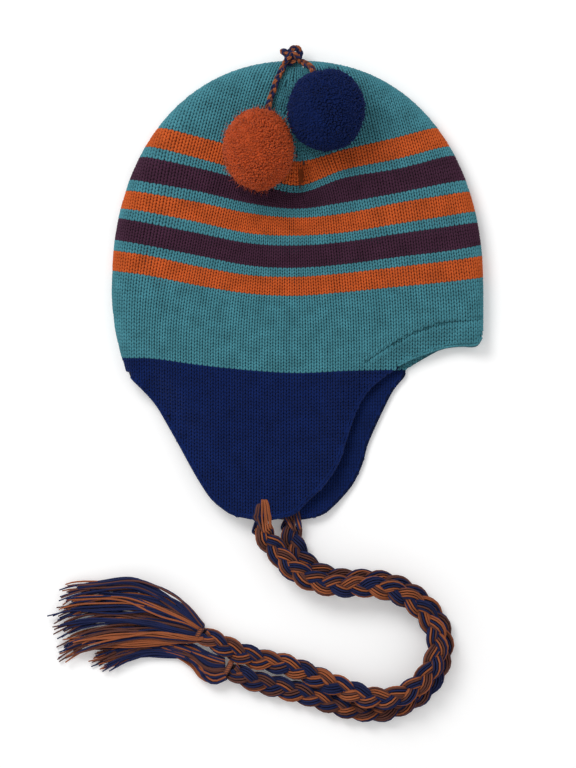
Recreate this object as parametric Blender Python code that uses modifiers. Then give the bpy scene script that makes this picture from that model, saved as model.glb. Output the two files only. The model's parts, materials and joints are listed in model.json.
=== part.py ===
"""Knitted chullo hat with ear flaps, two pompoms and two braided cords, lying on its side.

The near half of the knit lies over the far half. Each half's height is a function of its place
in plan, so every piece that touches the knit reads its height from the same functions.
Metres, +Z up, the front edge of the hat towards +X and the top of the crown towards +Y.
"""
import math

import bmesh
import bpy
import numpy as np
from mathutils import Matrix, Vector

# Plan sizes of the hat
HAT_WIDTH = 0.230        # back fold to front fold at the widest line
DOME_RISE = 0.142        # widest line to the top of the crown
DOME_POWER = 2.2         # 2 is an ellipse, more is squarer
WIDEST_Y = -0.0031       # where the widest line lies
SIDE_DROP = 0.0434       # widest line to the colour change at the back fold
FRONT_DROP = 0.0279      # widest line to the rounded front corner
BACK_TUCK = 0.0100       # how far the back fold draws in at the bottom of its band
BAND_DROP = 0.0533       # widest line to the lower edge of the band at the back fold
FLAP_DROP = 0.0508       # widest line to the level that the flaps are measured from
FLAP_LENGTH = 0.0918     # from there to the tip of a flap

# Heights and walls
KNIT = 0.0032            # thickness of one layer
CROWN_PILE = 0.0180      # underside to top of the two layers of the crown
TIP_PILE = 0.0144        # the same at the tips of the flaps
FOLD_REACH = 0.0140      # plan width of the rounding at a fold
FREE_REACH = 1.5         # how far in from a fold the near layer can droop, in FOLD_REACH
RIM_GAP = 0.0015         # inside gap between the layers along the rim
RIM_REACH = 0.0220       # how far in from the rim the near layer droops
HEM_WIDTH = 0.0160       # folded hem along the front edge
HEM_STEP = 0.0008        # how far the doubled knit stands up
TIP_LIFT = 0.0032        # the far tip lies on its own loop of yarn
TIP_LIFT_REACH = 0.0300
TIP_LIFT_END = 1.4       # where the lift has died out, in TIP_LIFT_REACH
PIECE_GAP = 0.0003       # air between two pieces that touch
COLOUR_GAP = 0.0004      # air between the crown and the flaps, along the colour change
POMPOM_GAP = 0.0006      # air under a pompom, whose dent is made of flat facets
HITCH_GAP = 0.0008       # air between a flap's tip and the yarn looped over it

# Pompoms, cords and braids
ORANGE_POMPOM_SIZE = (0.044, 0.051, 0.042)
BLUE_POMPOM_SIZE = (0.048, 0.051, 0.044)
ORANGE_POMPOM_XY = (-0.0239, 0.0825)
BLUE_POMPOM_XY = (0.0177, 0.1066)
POMPOM_PRESS = 0.0025    # how deep a pompom presses the knit
LOCK_RISE = 0.11         # lock height as a share of a pompom's radius
FACE_SINK = 1.02         # a lock is this much taller, as a flat face lies inside the ball
POMPOM_CORD_RADIUS = 0.0018
KNOT_CORD_RADIUS = 0.0016
KNOT_LOBE = 0.0020       # a third of the reach of the knot's lobes
KNOT_WEAVE = 0.0020      # how far its strands pass over and under
KNOT_OFFSET = -0.0037    # it lies to the back of the middle
KNOT_LEAN = math.radians(40)
KNOT_SLIDE = 0.0048      # how far the knot reaches out past its seat on the fold
BRAID_DIAMETER = 0.0110
HITCH_LENGTH = 0.0110    # how far a loop reaches over the knit
HITCH_RADIUS = 0.0011
HITCH_WIDTH = 0.0093
TIE_RADIUS = 0.0050
TIE_LENGTH = 0.0050
HEAD_RADIUS = 0.0046
TIE_ROUNDING = 0.0015
HEAD_LENGTH = 0.0090
HEAD_ROUNDING = 0.0008
TASSEL_LENGTH = 0.0950
LENGTH_SPREAD = 0.10     # how much shorter the shortest lock is
LOCK_RADIUS = 0.0034
LOCK_SWELL = (0.85, 1.0, 1.05, 1.0, 0.92, 0.75, 0.45)    # radius along a lock, in LOCK_RADIUS
LOCK_ROOT = 0.5          # where a lock leaves the head, a share of HEAD_LENGTH
LOCK_KNEE = 0.38         # where a lock starts to bend into the fan, a share of its length
ROOT_STEP = 0.0007       # the locks leave the head one behind another

# The crown's lower edge: the colour change, then the front rim.
# across is a share of half the hat's width, drop a share of SIDE_DROP below the widest line.
LOWER_EDGE = (
    # across, drop
    (-0.946, 1.000),
    (-0.600, 1.020),
    (-0.364, 1.140),
    (-0.040, 1.195),
    (0.391, 1.160),
    (0.504, 1.140),
    (0.606, 1.014),
    (0.720, 0.900),
    (0.801, 0.836),
    (0.881, 0.812),
    (0.951, 0.805),
    (0.984, 0.757),
    (1.000, 0.643),
)
FAR_FLAP_FRONT = 0.600   # where the far flap's front edge leaves the crown, a share as above

# The near flap's edges. drop is a share of FLAP_LENGTH, back, front and shift are shares of
# half the hat's width. The far flap is the same shape, moved towards the front by shift.
FLAP_EDGES = (
    # drop, back, front, shift
    (0.027, -0.914, 0.478, 0.105),
    (0.122, -0.838, 0.391, 0.129),
    (0.223, -0.768, 0.337, 0.140),
    (0.358, -0.703, 0.294, 0.132),
    (0.493, -0.641, 0.259, 0.121),
    (0.628, -0.582, 0.221, 0.129),
    (0.764, -0.518, 0.148, 0.150),
    (0.865, -0.461, 0.067, 0.162),
    (0.932, -0.396, 0.013, 0.160),
    (0.973, -0.337, -0.035, 0.158),
    (1.000, -0.229, -0.137, 0.155),
)
FREE_ROW = 0.122         # share of FLAP_LENGTH below which a flap's rows are straight

# Dents of the near layer. across and rise are shares of half the width and of DOME_RISE,
# depth is a share of POMPOM_PRESS and reach a share of half the width.
DENTS = (
    # across, rise, depth, reach
    (-0.208, 0.603, 1.0, 0.14),
    (0.154, 0.773, 1.0, 0.14),
    (0.014, 0.500, 0.8, 0.08),
)

# Centre lines of the two braids, from the flap's tip to the tie: x, y and z.
NEAR_BRAID_ROUTE = (
    (-0.0222, -0.1512, 0.0122),
    (-0.0206, -0.1550, 0.0112),
    (-0.0178, -0.1591, 0.0102),
    (-0.0133, -0.1643, 0.0104),
    (-0.0071, -0.1723, 0.0132),
    (0.0016, -0.1792, 0.0164),
    (0.0140, -0.1847, 0.0168),
    (0.0295, -0.1866, 0.0168),
    (0.0450, -0.1866, 0.0168),
    (0.0574, -0.1891, 0.0168),
    (0.0685, -0.1940, 0.0168),
    (0.0778, -0.2021, 0.0168),
    (0.0840, -0.2114, 0.0168),
    (0.0865, -0.2213, 0.0168),
    (0.0846, -0.2325, 0.0168),
    (0.0791, -0.2424, 0.0167),
    (0.0704, -0.2505, 0.0163),
    (0.0592, -0.2554, 0.0156),
    (0.0450, -0.2554, 0.0142),
    (0.0307, -0.2508, 0.0118),
    (0.0152, -0.2446, 0.0090),
    (0.0016, -0.2390, 0.0068),
    (-0.0121, -0.2347, 0.0058),
    (-0.0264, -0.2316, 0.0056),
    (-0.0406, -0.2263, 0.0056),
    (-0.0518, -0.2207, 0.0056),
    (-0.0590, -0.2170, 0.0056),
)
FAR_BRAID_ROUTE = (
    (-0.0040, -0.1502, 0.0057),
    (-0.0036, -0.1545, 0.0056),
    (-0.0018, -0.1618, 0.0056),
    (0.0018, -0.1695, 0.0056),
    (0.0090, -0.1763, 0.0056),
    (0.0202, -0.1814, 0.0056),
    (0.0338, -0.1829, 0.0056),
    (0.0487, -0.1835, 0.0056),
    (0.0617, -0.1866, 0.0056),
    (0.0729, -0.1934, 0.0056),
    (0.0822, -0.2021, 0.0056),
    (0.0884, -0.2120, 0.0056),
    (0.0902, -0.2219, 0.0056),
    (0.0890, -0.2331, 0.0056),
    (0.0840, -0.2443, 0.0056),
    (0.0753, -0.2542, 0.0056),
    (0.0636, -0.2610, 0.0056),
    (0.0499, -0.2643, 0.0056),
    (0.0357, -0.2634, 0.0056),
    (0.0214, -0.2594, 0.0056),
    (0.0065, -0.2545, 0.0056),
    (-0.0084, -0.2505, 0.0056),
    (-0.0233, -0.2470, 0.0056),
    (-0.0338, -0.2430, 0.0056),
    (-0.0410, -0.2392, 0.0056),
)
# Centre lines of the pompoms' cords, from the knot to where each meets its pompom.
ORANGE_CORD_ROUTE = (
    (-0.0085, 0.1352, 0.0187),
    (-0.0105, 0.1310, 0.0200),
    (-0.0127, 0.1262, 0.0205),
    (-0.0150, 0.1200, 0.0205),
    (-0.0167, 0.1145, 0.0209),
    (-0.0181, 0.1095, 0.0228),
)
BLUE_CORD_ROUTE = (
    (0.0030, 0.1375, 0.0180),
    (0.0062, 0.1358, 0.0209),
    (0.0090, 0.1330, 0.0247),
)

# Each tassel's fan of locks: angles from +X, and the height of the first and last lock.
NEAR_FAN = (math.radians(162), math.radians(189), 0.0038, 0.0108)
FAR_FAN = (math.radians(169), math.radians(186), 0.0036, 0.0036)
NEAR_LOCKS = 9
FAR_LOCKS = 6

# Mesh counts
DOME_ROWS = 12
SIDE_ROWS = 5
CROWN_COLUMNS = 18
NEAR_FRONT_COLUMN = 6    # the crown's column that the near flap's front edge leaves from
FLAP_ROWS = (0.20, 0.30, 0.40, 0.50, 0.60, 0.70, 0.79, 0.865, 0.925, 0.968, 1.0)
BAND_ROWS = (0.0, 0.28, 0.55, 0.77, 1.0)
FOLD_BAND_ROWS = 3
BAND_STEPS = 12          # of the fold line, along the band
DOME_STEPS = 96          # of the fold line, round the dome
RIM_STEPS = 40           # of each run of the rim line
RIM_START = 0.03         # where the rim line starts, a share of FLAP_LENGTH
CURVE_STEPS = 12         # between two points of a smooth route
KNOT_POINTS = 30
BEND_STEPS = 6           # round the bend of a hitch
BALL_SUBDIVISIONS = 3    # of a pompom's core
DRUM_SIDES = 16
TUBE_BEVEL_STEPS = 2     # of a round tube
LOCK_BEVEL_STEPS = 1     # of a tassel's lock
BRAID_PITCH = 1.15       # between a braid's points, in its diameter
THIN_CORD_PITCH = 1.5    # between a thin cord's points, in its radius
WELD = 1e-6              # metres, how close two corners are when they are one
ROUGHNESS = 0.9

HALF_WIDTH = HAT_WIDTH / 2
FLAP_TOP_Y = WIDEST_Y - FLAP_DROP
TIP_Y = FLAP_TOP_Y - FLAP_LENGTH


def smooth(value):
    """Ease from 0 to 1 as value goes from 0 to 1."""
    value = min(max(value, 0.0), 1.0)
    return value * value * (3.0 - 2.0 * value)


def read_table(rows, column, at):
    """Value of a table's column where its first column is at, on a smooth curve."""
    keys = [row[0] for row in rows]
    values = [row[column] for row in rows]
    at = min(max(at, keys[0]), keys[-1])
    i = min(max(np.searchsorted(keys, at) - 1, 0), len(keys) - 2)
    slopes = []
    for k in (i, i + 1):
        low = max(k - 1, 0)
        high = min(k + 1, len(keys) - 1)
        slopes.append((values[high] - values[low]) / (keys[high] - keys[low]))
    span = keys[i + 1] - keys[i]
    t = (at - keys[i]) / span
    rise = values[i + 1] - values[i]
    ease = t * t * (3 - 2 * t)
    start = t * (1 - t) * (1 - t) * slopes[0] * span
    end = t * t * (t - 1) * slopes[1] * span
    return values[i] + rise * ease + start + end


def lower_edge_y(x):
    """Height in plan of the crown's lower edge at x."""
    return WIDEST_Y - SIDE_DROP * read_table(LOWER_EDGE, 1, x / HALF_WIDTH)


def dome_point(angle):
    """Point of the dome's outline, angle 0 at the front and pi at the back."""
    power = 2.0 / DOME_POWER
    across = math.copysign(abs(math.cos(angle)) ** power, math.cos(angle))
    return HALF_WIDTH * across, WIDEST_Y + DOME_RISE * math.sin(angle) ** power


def back_fold_x(y):
    """The back fold below the widest line, which draws in towards the band."""
    drop = max(WIDEST_Y - y, 0.0) / BAND_DROP
    return -HALF_WIDTH + BACK_TUCK * drop * drop


def flap_edges(y, far):
    """Back and front edge of a flap at height y in plan."""
    drop = (FLAP_TOP_Y - y) / FLAP_LENGTH
    shift = read_table(FLAP_EDGES, 3, drop) if far else 0.0
    back = read_table(FLAP_EDGES, 1, drop) + shift
    front = read_table(FLAP_EDGES, 2, drop) + shift
    return back * HALF_WIDTH, front * HALF_WIDTH


def column_places(front, back):
    """Where the crown's columns cross a row, front fold to back fold, closer at the folds."""
    middle = (front + back) / 2
    reach = (front - back) / 2
    turns = [math.pi * i / CROWN_COLUMNS for i in range(CROWN_COLUMNS + 1)]
    return [middle + reach * math.cos(turn) for turn in turns]


def lower_columns():
    """Where the crown's columns meet its lower edge, front fold to back fold."""
    return column_places(HALF_WIDTH, back_fold_x(WIDEST_Y - SIDE_DROP))


def fold_line():
    """The fold that joins the two layers, from the back band round the dome to the front."""
    points = []
    for i in range(BAND_STEPS):
        y = WIDEST_Y - BAND_DROP * (1 - i / BAND_STEPS)
        points.append((back_fold_x(y), y))
    for i in range(DOME_STEPS + 1):
        points.append(dome_point(math.pi * (1 - i / DOME_STEPS)))
    points.append((HALF_WIDTH, WIDEST_Y - FRONT_DROP))
    return np.array(points)


def front_rim_line():
    """The near layer's open edge in front of its flap."""
    flap_front = lower_columns()[NEAR_FRONT_COLUMN]
    points = []
    for i in range(RIM_STEPS + 1):
        x = flap_front + (HALF_WIDTH - flap_front) * i / RIM_STEPS
        points.append((x, lower_edge_y(x)))
    return np.array(points)


def rim_line():
    """The whole open edge of the near layer: flap, then front rim."""
    points = []
    drops = [RIM_START + (1 - RIM_START) * i / RIM_STEPS for i in range(RIM_STEPS + 1)]
    for drop in drops:
        y = FLAP_TOP_Y - FLAP_LENGTH * drop
        points.append((flap_edges(y, False)[0], y))
    for drop in reversed(drops):
        y = FLAP_TOP_Y - FLAP_LENGTH * drop
        points.append((flap_edges(y, False)[1], y))
    return np.vstack((np.array(points), front_rim_line()))


FOLD = fold_line()
RIM = rim_line()
FRONT_RIM = front_rim_line()


def distance_to(line, x, y):
    """Shortest plan distance from a point to a line of points."""
    starts = line[:-1]
    runs = line[1:] - starts
    offsets = np.array((x, y)) - starts
    shares = np.clip((offsets * runs).sum(axis=1) / (runs * runs).sum(axis=1), 0.0, 1.0)
    gaps = offsets - runs * shares[:, None]
    return math.sqrt((gaps * gaps).sum(axis=1).min())


def half_pile(y):
    """Half the height of the two layers, less towards the tips of the flaps."""
    share = smooth((WIDEST_Y - SIDE_DROP - y) / (FLAP_LENGTH + FLAP_DROP - SIDE_DROP))
    return (CROWN_PILE + (TIP_PILE - CROWN_PILE) * share) / 2


def fold_height(x, y):
    """Height of a layer's outside above the middle of the pile."""
    share = min(distance_to(FOLD, x, y) / FOLD_REACH, 1.0)
    return half_pile(y) * math.sqrt(max(1.0 - (1.0 - share) ** 2, 0.0))


def near_height(x, y):
    """Outside of the near layer, which is its top."""
    top = half_pile(y) + fold_height(x, y)
    free = smooth(distance_to(FOLD, x, y) / (FREE_REACH * FOLD_REACH))
    tip = smooth((FLAP_TOP_Y - y) / FLAP_LENGTH)
    rim_gap = RIM_GAP + (TIP_PILE - 2 * KNIT - RIM_GAP) * tip
    droop = 2 * half_pile(y) - 2 * KNIT - rim_gap
    top -= droop * free * (1 - smooth(distance_to(RIM, x, y) / RIM_REACH))
    hem = smooth((HEM_WIDTH - distance_to(FRONT_RIM, x, y)) / KNIT)
    top += HEM_STEP * hem * free
    for across, rise, depth, reach in DENTS:
        centre = (across * HALF_WIDTH, WIDEST_Y + rise * DOME_RISE)
        away = math.dist((x, y), centre) / (reach * HALF_WIDTH)
        top -= depth * POMPOM_PRESS * math.exp(-away * away)
    return top


def far_tip():
    """The middle of the far flap's lower end."""
    back, front = flap_edges(TIP_Y, True)
    return (back + front) / 2, TIP_Y


def far_height(x, y):
    """Outside of the far layer, which is its underside and lies on the ground."""
    bottom = half_pile(y) - fold_height(x, y)
    away = math.dist((x, y), far_tip()) / TIP_LIFT_REACH
    return bottom + TIP_LIFT * smooth(TIP_LIFT_END - away)


def make_material(name, colour):
    """A plain cloth material."""
    material = bpy.data.materials.new(name)
    material.use_nodes = True
    shader = material.node_tree.nodes["Principled BSDF"]
    shader.inputs["Base Color"].default_value = (*colour, 1.0)
    shader.inputs["Roughness"].default_value = ROUGHNESS
    shader.inputs["Metallic"].default_value = 0.0
    return material


def add_object(name, mesh, material, collection):
    """Put a mesh in the scene with its material."""
    obj = bpy.data.objects.new(name, mesh)
    mesh.materials.append(material)
    collection.objects.link(obj)
    return obj


def finish_bmesh(bm, name):
    """Turn a bmesh into a mesh with its faces pointing out."""
    bmesh.ops.recalc_face_normals(bm, faces=bm.faces)
    mesh = bpy.data.meshes.new(name)
    bm.to_mesh(mesh)
    bm.free()
    return mesh


def add_wall(obj):
    """Give an outside surface the knit's thickness, inwards."""
    obj.data.shade_smooth()
    wall = obj.modifiers.new("knit", "SOLIDIFY")
    wall.thickness = KNIT
    wall.offset = -1.0
    wall.use_even_offset = False


def crown_row(level, front, back):
    """Plan points of one crown row, front fold to back fold."""
    return [(x, level(x)) for x in column_places(front, back)]


def crown_rows():
    """Plan points of every crown row from below the top to the lower edge."""
    rows = []
    for i in range(1, DOME_ROWS + 1):
        x, y = dome_point(math.pi / 2 * (1 - i / DOME_ROWS))
        rows.append(crown_row(lambda _, height=y: height, x, -x))
    for i in range(1, SIDE_ROWS + 1):
        share = i / SIDE_ROWS
        back = back_fold_x(WIDEST_Y - share * SIDE_DROP)

        def level(x, share=share):
            return WIDEST_Y + share * (lower_edge_y(x) - WIDEST_Y)

        rows.append(crown_row(level, HALF_WIDTH, back))
    return rows


def make_crown(material, collection):
    """The crown: a dome of knit folded flat, open at its lower edge."""
    bm = bmesh.new()
    x, y = dome_point(math.pi / 2)
    pole = bm.verts.new((x, y, half_pile(y)))
    rings = []
    for row in crown_rows():
        near = [bm.verts.new((x, y, near_height(x, y))) for x, y in row]
        inner = row[1:-1]
        far = [bm.verts.new((x, y, far_height(x, y))) for x, y in reversed(inner)]
        rings.append(near + far)
    count = len(rings[0])
    for i in range(count):
        bm.faces.new((pole, rings[0][i], rings[0][(i + 1) % count]))
    for upper, lower in zip(rings, rings[1:]):
        for i in range(count):
            after = (i + 1) % count
            bm.faces.new((upper[i], lower[i], lower[after], upper[after]))
    add_wall(add_object("crown", finish_bmesh(bm, "crown"), material, collection))


def flap_top(far):
    """Plan points of a flap's top row, back to front, just below the crown's lower edge."""
    edge = [(x, lower_edge_y(x)) for x in reversed(lower_columns())]
    row = edge[:CROWN_COLUMNS - NEAR_FRONT_COLUMN + 1]
    if far:
        x = FAR_FLAP_FRONT * HALF_WIDTH
        share = (x - row[-1][0]) / (edge[len(row)][0] - row[-1][0])
        row.append((x, row[-1][1] + share * (edge[len(row)][1] - row[-1][1])))
    return [(x, y - COLOUR_GAP) for x, y in row]


def flap_rows(far):
    """Plan points of a flap's rows, back edge to front edge, top row first."""
    top = flap_top(far)
    steps = [(x - top[0][0]) / (top[-1][0] - top[0][0]) for x, y in top]
    free_y = FLAP_TOP_Y - FREE_ROW * FLAP_LENGTH
    rows = []
    for row_number, share in enumerate(BAND_ROWS):
        levels = [y + share * (free_y - y) for x, y in top]
        back = back_fold_x(levels[0])
        if row_number >= FOLD_BAND_ROWS:
            back = flap_edges(levels[0], far)[0]
        front = flap_edges(levels[-1], far)[1]
        front = top[-1][0] + (front - top[-1][0]) * smooth(share * 2)
        rows.append([(back + (front - back) * step, y) for step, y in zip(steps, levels)])
    for drop in FLAP_ROWS:
        y = FLAP_TOP_Y - drop * FLAP_LENGTH
        back, front = flap_edges(y, far)
        rows.append([(back + (front - back) * step, y) for step in steps])
    return rows


def make_ear_flaps(material, collection):
    """Both flaps with the band that joins them round the back fold, one piece of knit."""
    bm = bmesh.new()
    near = []
    far = []
    for row in flap_rows(False):
        near.append([bm.verts.new((x, y, near_height(x, y))) for x, y in row])
    for row_number, row in enumerate(flap_rows(True)):
        verts = [bm.verts.new((x, y, far_height(x, y))) for x, y in row[1:]]
        if row_number < FOLD_BAND_ROWS:
            first = near[row_number][0]
        else:
            x, y = row[0]
            first = bm.verts.new((x, y, far_height(x, y)))
        far.append([first] + verts)
    for grid, turned in ((near, False), (far, True)):
        for upper, lower in zip(grid, grid[1:]):
            for i in range(len(upper) - 1):
                corners = [upper[i], lower[i], lower[i + 1], upper[i + 1]]
                if turned:
                    corners.reverse()
                bm.faces.new(corners)
    add_wall(add_object("ear_flaps", finish_bmesh(bm, "ear_flaps"), material, collection))


def smooth_route(points, pitch):
    """Points a pitch apart on a smooth curve through the route's own points."""
    points = [Vector(point) for point in points]
    fine = []
    ends = [2 * points[0] - points[1]] + points + [2 * points[-1] - points[-2]]
    for a, b, c, d in zip(ends, ends[1:], ends[2:], ends[3:]):
        for i in range(CURVE_STEPS):
            t = i / CURVE_STEPS
            fine.append(0.5 * (2 * b + (c - a) * t + (2 * a - 5 * b + 4 * c - d) * t * t
                               + (3 * b - a - 3 * c + d) * t * t * t))
    fine.append(points[-1])
    reach = [0.0]
    for a, b in zip(fine, fine[1:]):
        reach.append(reach[-1] + (b - a).length)
    count = max(round(reach[-1] / pitch), 2)
    marks = np.linspace(0.0, reach[-1], count + 1)
    axes = [np.interp(marks, reach, [point[axis] for point in fine]) for axis in range(3)]
    return [Vector(point) for point in zip(*axes)]


def tube_object(name, points, radii, sides_level, collection, cyclic=False):
    """A round tube along points, as a curve with filled caps."""
    curve = bpy.data.curves.new(name, "CURVE")
    curve.dimensions = "3D"
    curve.bevel_depth = 1.0
    curve.bevel_resolution = sides_level
    curve.use_fill_caps = True
    spline = curve.splines.new("POLY")
    spline.points.add(len(points) - 1)
    for target, point, radius in zip(spline.points, points, radii):
        target.co = (*point, 1.0)
        target.radius = radius
    spline.use_cyclic_u = cyclic
    obj = bpy.data.objects.new(name, curve)
    collection.objects.link(obj)
    return obj


def as_mesh(obj, collection):
    """The curve's tube as a mesh object with its caps welded, in place of the curve."""
    bpy.context.view_layer.update()
    graph = bpy.context.evaluated_depsgraph_get()
    mesh = bpy.data.meshes.new_from_object(obj.evaluated_get(graph))
    bm = bmesh.new()
    bm.from_mesh(mesh)
    bmesh.ops.remove_doubles(bm, verts=bm.verts, dist=WELD)
    bmesh.ops.recalc_face_normals(bm, faces=bm.faces)
    bm.to_mesh(mesh)
    bm.free()
    name = obj.name
    place = obj.matrix_world.copy()
    bpy.data.objects.remove(obj)
    solid = bpy.data.objects.new(name, mesh)
    solid.matrix_world = place
    collection.objects.link(solid)
    return solid


def make_tube(name, points, radius, material, collection, cyclic=False):
    """A tube that stays as a piece of the hat."""
    obj = tube_object(name, points, [radius] * len(points), TUBE_BEVEL_STEPS, collection, cyclic)
    obj.data.materials.append(material)


def pompom_centre(place, size):
    """Centre of a pompom that rests in its dent of the near layer."""
    height = near_height(*place) + POMPOM_GAP + size[2] / 2
    return Vector((*place, height))


def make_pompom(name, place, size, cord_end, material, collection):
    """A ball of locks: a core whose every face is raised to a point, one facing its cord."""
    radii = Vector(size) / 2
    centre = pompom_centre(place, size)
    core = 1 - LOCK_RISE
    bm = bmesh.new()
    bmesh.ops.create_icosphere(bm, subdivisions=BALL_SUBDIVISIONS, radius=core)
    bmesh.ops.poke(bm, faces=bm.faces, offset=LOCK_RISE * FACE_SINK)
    tips = [vert for vert in bm.verts if len(vert.link_edges) == 3]
    toward = cord_end - centre
    toward = Vector((toward.x / radii.x, toward.y / radii.y, toward.z / radii.z)).normalized()
    turn = tips[0].co.rotation_difference(toward).to_matrix().to_4x4()
    bmesh.ops.transform(bm, matrix=turn, verts=bm.verts)
    stretch = Matrix.Translation(centre) @ Matrix.Diagonal((*radii, 1.0))
    bmesh.ops.transform(bm, matrix=stretch, verts=bm.verts)
    add_object(name, finish_bmesh(bm, name), material, collection)


def cord_to_pompom(route, place, size):
    """The cord's route with its last point on the pompom's surface, a small gap away."""
    radii = Vector(size) / 2
    centre = pompom_centre(place, size)
    toward = Vector(route[-1]) - centre
    scaled = Vector((toward.x / radii.x, toward.y / radii.y, toward.z / radii.z))
    meeting = centre + toward / scaled.length
    end = meeting + toward.normalized() * PIECE_GAP
    return [Vector(point) for point in route] + [end]


def make_knot(material, collection):
    """The knot at the top, three lobes of cord woven over and under, leaning on the fold."""
    lean = Matrix.Rotation(-KNOT_LEAN, 4, "X")
    out = Vector((0, math.sin(KNOT_LEAN), math.cos(KNOT_LEAN)))
    along = Vector((0, out.z, -out.y))
    top_x, top_y = dome_point(math.pi / 2)
    rise = half_pile(top_y)
    round_turn = math.atan(math.tan(KNOT_LEAN) * FOLD_REACH / rise)
    seat = Vector((
        top_x + KNOT_OFFSET,
        top_y - FOLD_REACH * (1 - math.sin(round_turn)),
        rise + rise * math.cos(round_turn),
    ))
    centre = seat + out * (KNOT_WEAVE + KNOT_CORD_RADIUS + PIECE_GAP) + along * KNOT_SLIDE
    points = []
    for i in range(KNOT_POINTS):
        t = math.tau * i / KNOT_POINTS
        place = Vector((
            KNOT_LOBE * (math.sin(t) + 2 * math.sin(2 * t)),
            KNOT_LOBE * (math.cos(t) - 2 * math.cos(2 * t)),
            -KNOT_WEAVE * math.sin(3 * t),
        ))
        points.append(centre + lean @ place)
    make_tube("top_knot", points, KNOT_CORD_RADIUS, material, collection, cyclic=True)


def make_hitch(name, x, top, material, collection):
    """Yarn looped over the edge of a flap's tip: above the knit, round its edge, below it."""
    clear = HITCH_GAP + HITCH_RADIUS
    high = top + clear
    low = top - KNIT - clear
    outer = TIP_Y - clear
    middle = (high + low) / 2
    bend = (high - low) / 2
    points = [(0.0, outer + bend + HITCH_LENGTH, high)]
    for i in range(BEND_STEPS + 1):
        angle = math.pi / 2 - math.pi * i / BEND_STEPS
        points.append((0.0, outer + bend - bend * math.cos(angle), middle + bend * math.sin(angle)))
    points.append((0.0, outer + bend + HITCH_LENGTH, low))
    radii = [HITCH_RADIUS] * len(points)
    loop = as_mesh(tube_object(name, points, radii, TUBE_BEVEL_STEPS, collection), collection)
    widen = Matrix.Diagonal((HITCH_WIDTH / (2 * HITCH_RADIUS), 1.0, 1.0, 1.0))
    loop.data.transform(Matrix.Translation((x, 0.0, 0.0)) @ widen)
    loop.data.materials.append(material)


def axis_turn(direction):
    """Rotation that takes +Z to a direction."""
    return Vector((0, 0, 1)).rotation_difference(direction).to_matrix().to_4x4()


def make_drum(name, start, direction, radius, length, material, collection, rounding):
    """A short drum with rounded ends, from start along a direction."""
    bm = bmesh.new()
    bmesh.ops.create_cone(bm, cap_ends=True, segments=DRUM_SIDES, radius1=radius,
                          radius2=radius, depth=length)
    ring = [edge for edge in bm.edges if abs(edge.verts[0].co.z - edge.verts[1].co.z) < WELD]
    bmesh.ops.bevel(bm, geom=ring, offset=rounding, segments=2, affect="EDGES", profile=0.5)
    place = Matrix.Translation(start + direction * length / 2) @ axis_turn(direction)
    bmesh.ops.transform(bm, matrix=place, verts=bm.verts)
    return add_object(name, finish_bmesh(bm, name), material, collection)


def lock_points(start, direction, angle, length, height):
    """A lock's line: out along the tassel's head, then bending to its place in the fan."""
    tip = start + Vector((math.cos(angle), math.sin(angle), 0)) * length
    tip.z = height
    knee = start + direction * length * LOCK_KNEE
    knee.z = (start.z + height) / 2
    points = []
    for t in np.linspace(0.0, 1.0, len(LOCK_SWELL)):
        points.append((1 - t) ** 2 * start + 2 * t * (1 - t) * knee + t * t * tip)
    return points


def make_tassel(name, start, direction, fan, count, material, collection, cutters):
    """Loose yarn ends as tapering locks, fused to the head below the tie."""
    first, last, low, high = fan
    head = make_drum(name, start, direction, HEAD_RADIUS, HEAD_LENGTH, material, collection,
                     HEAD_ROUNDING)
    root = start + direction * HEAD_LENGTH * LOCK_ROOT
    across = direction.cross(Vector((0, 0, 1))).normalized()
    if math.sin(last - first) > 0:
        across.negate()
    for i in range(count):
        share = i / (count - 1)
        angle = first + (last - first) * share
        length = TASSEL_LENGTH * (1.0 - LENGTH_SPREAD * ((i * 5) % 3) / 2)
        height = low + (high - low) * share
        apart = across * HEAD_RADIUS * (share - 0.5) + direction * ROOT_STEP * (i % 3)
        points = lock_points(root + apart, direction, angle, length, height)
        radii = [LOCK_RADIUS * value for value in LOCK_SWELL]
        lock = tube_object(f"{name}_lock_{i}", points, radii, LOCK_BEVEL_STEPS, cutters)
        lock = as_mesh(lock, cutters)
        lock.hide_render = True
        lock.display_type = "WIRE"
        fuse = head.modifiers.new(f"lock {i}", "BOOLEAN")
        fuse.operation = "UNION"
        fuse.solver = "EXACT"
        fuse.object = lock


def make_braid(side, route, fan, count, materials, collection, cutters):
    """One braid as a tube, with its tie and its tassel in line at its end."""
    radius = BRAID_DIAMETER / 2
    points = smooth_route(route, BRAID_PITCH * BRAID_DIAMETER)
    make_tube(f"{side}_braid", points, radius, materials["braid"], collection)
    direction = (points[-1] - points[-2]).normalized()
    tie_start = points[-1] + direction * PIECE_GAP
    make_drum(f"{side}_tassel_tie", tie_start, direction, TIE_RADIUS, TIE_LENGTH,
              materials["braid"], collection, TIE_ROUNDING)
    head_start = tie_start + direction * (TIE_LENGTH + PIECE_GAP)
    make_tassel(f"{side}_tassel", head_start, direction, fan, count,
                materials["braid"], collection, cutters)


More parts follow.
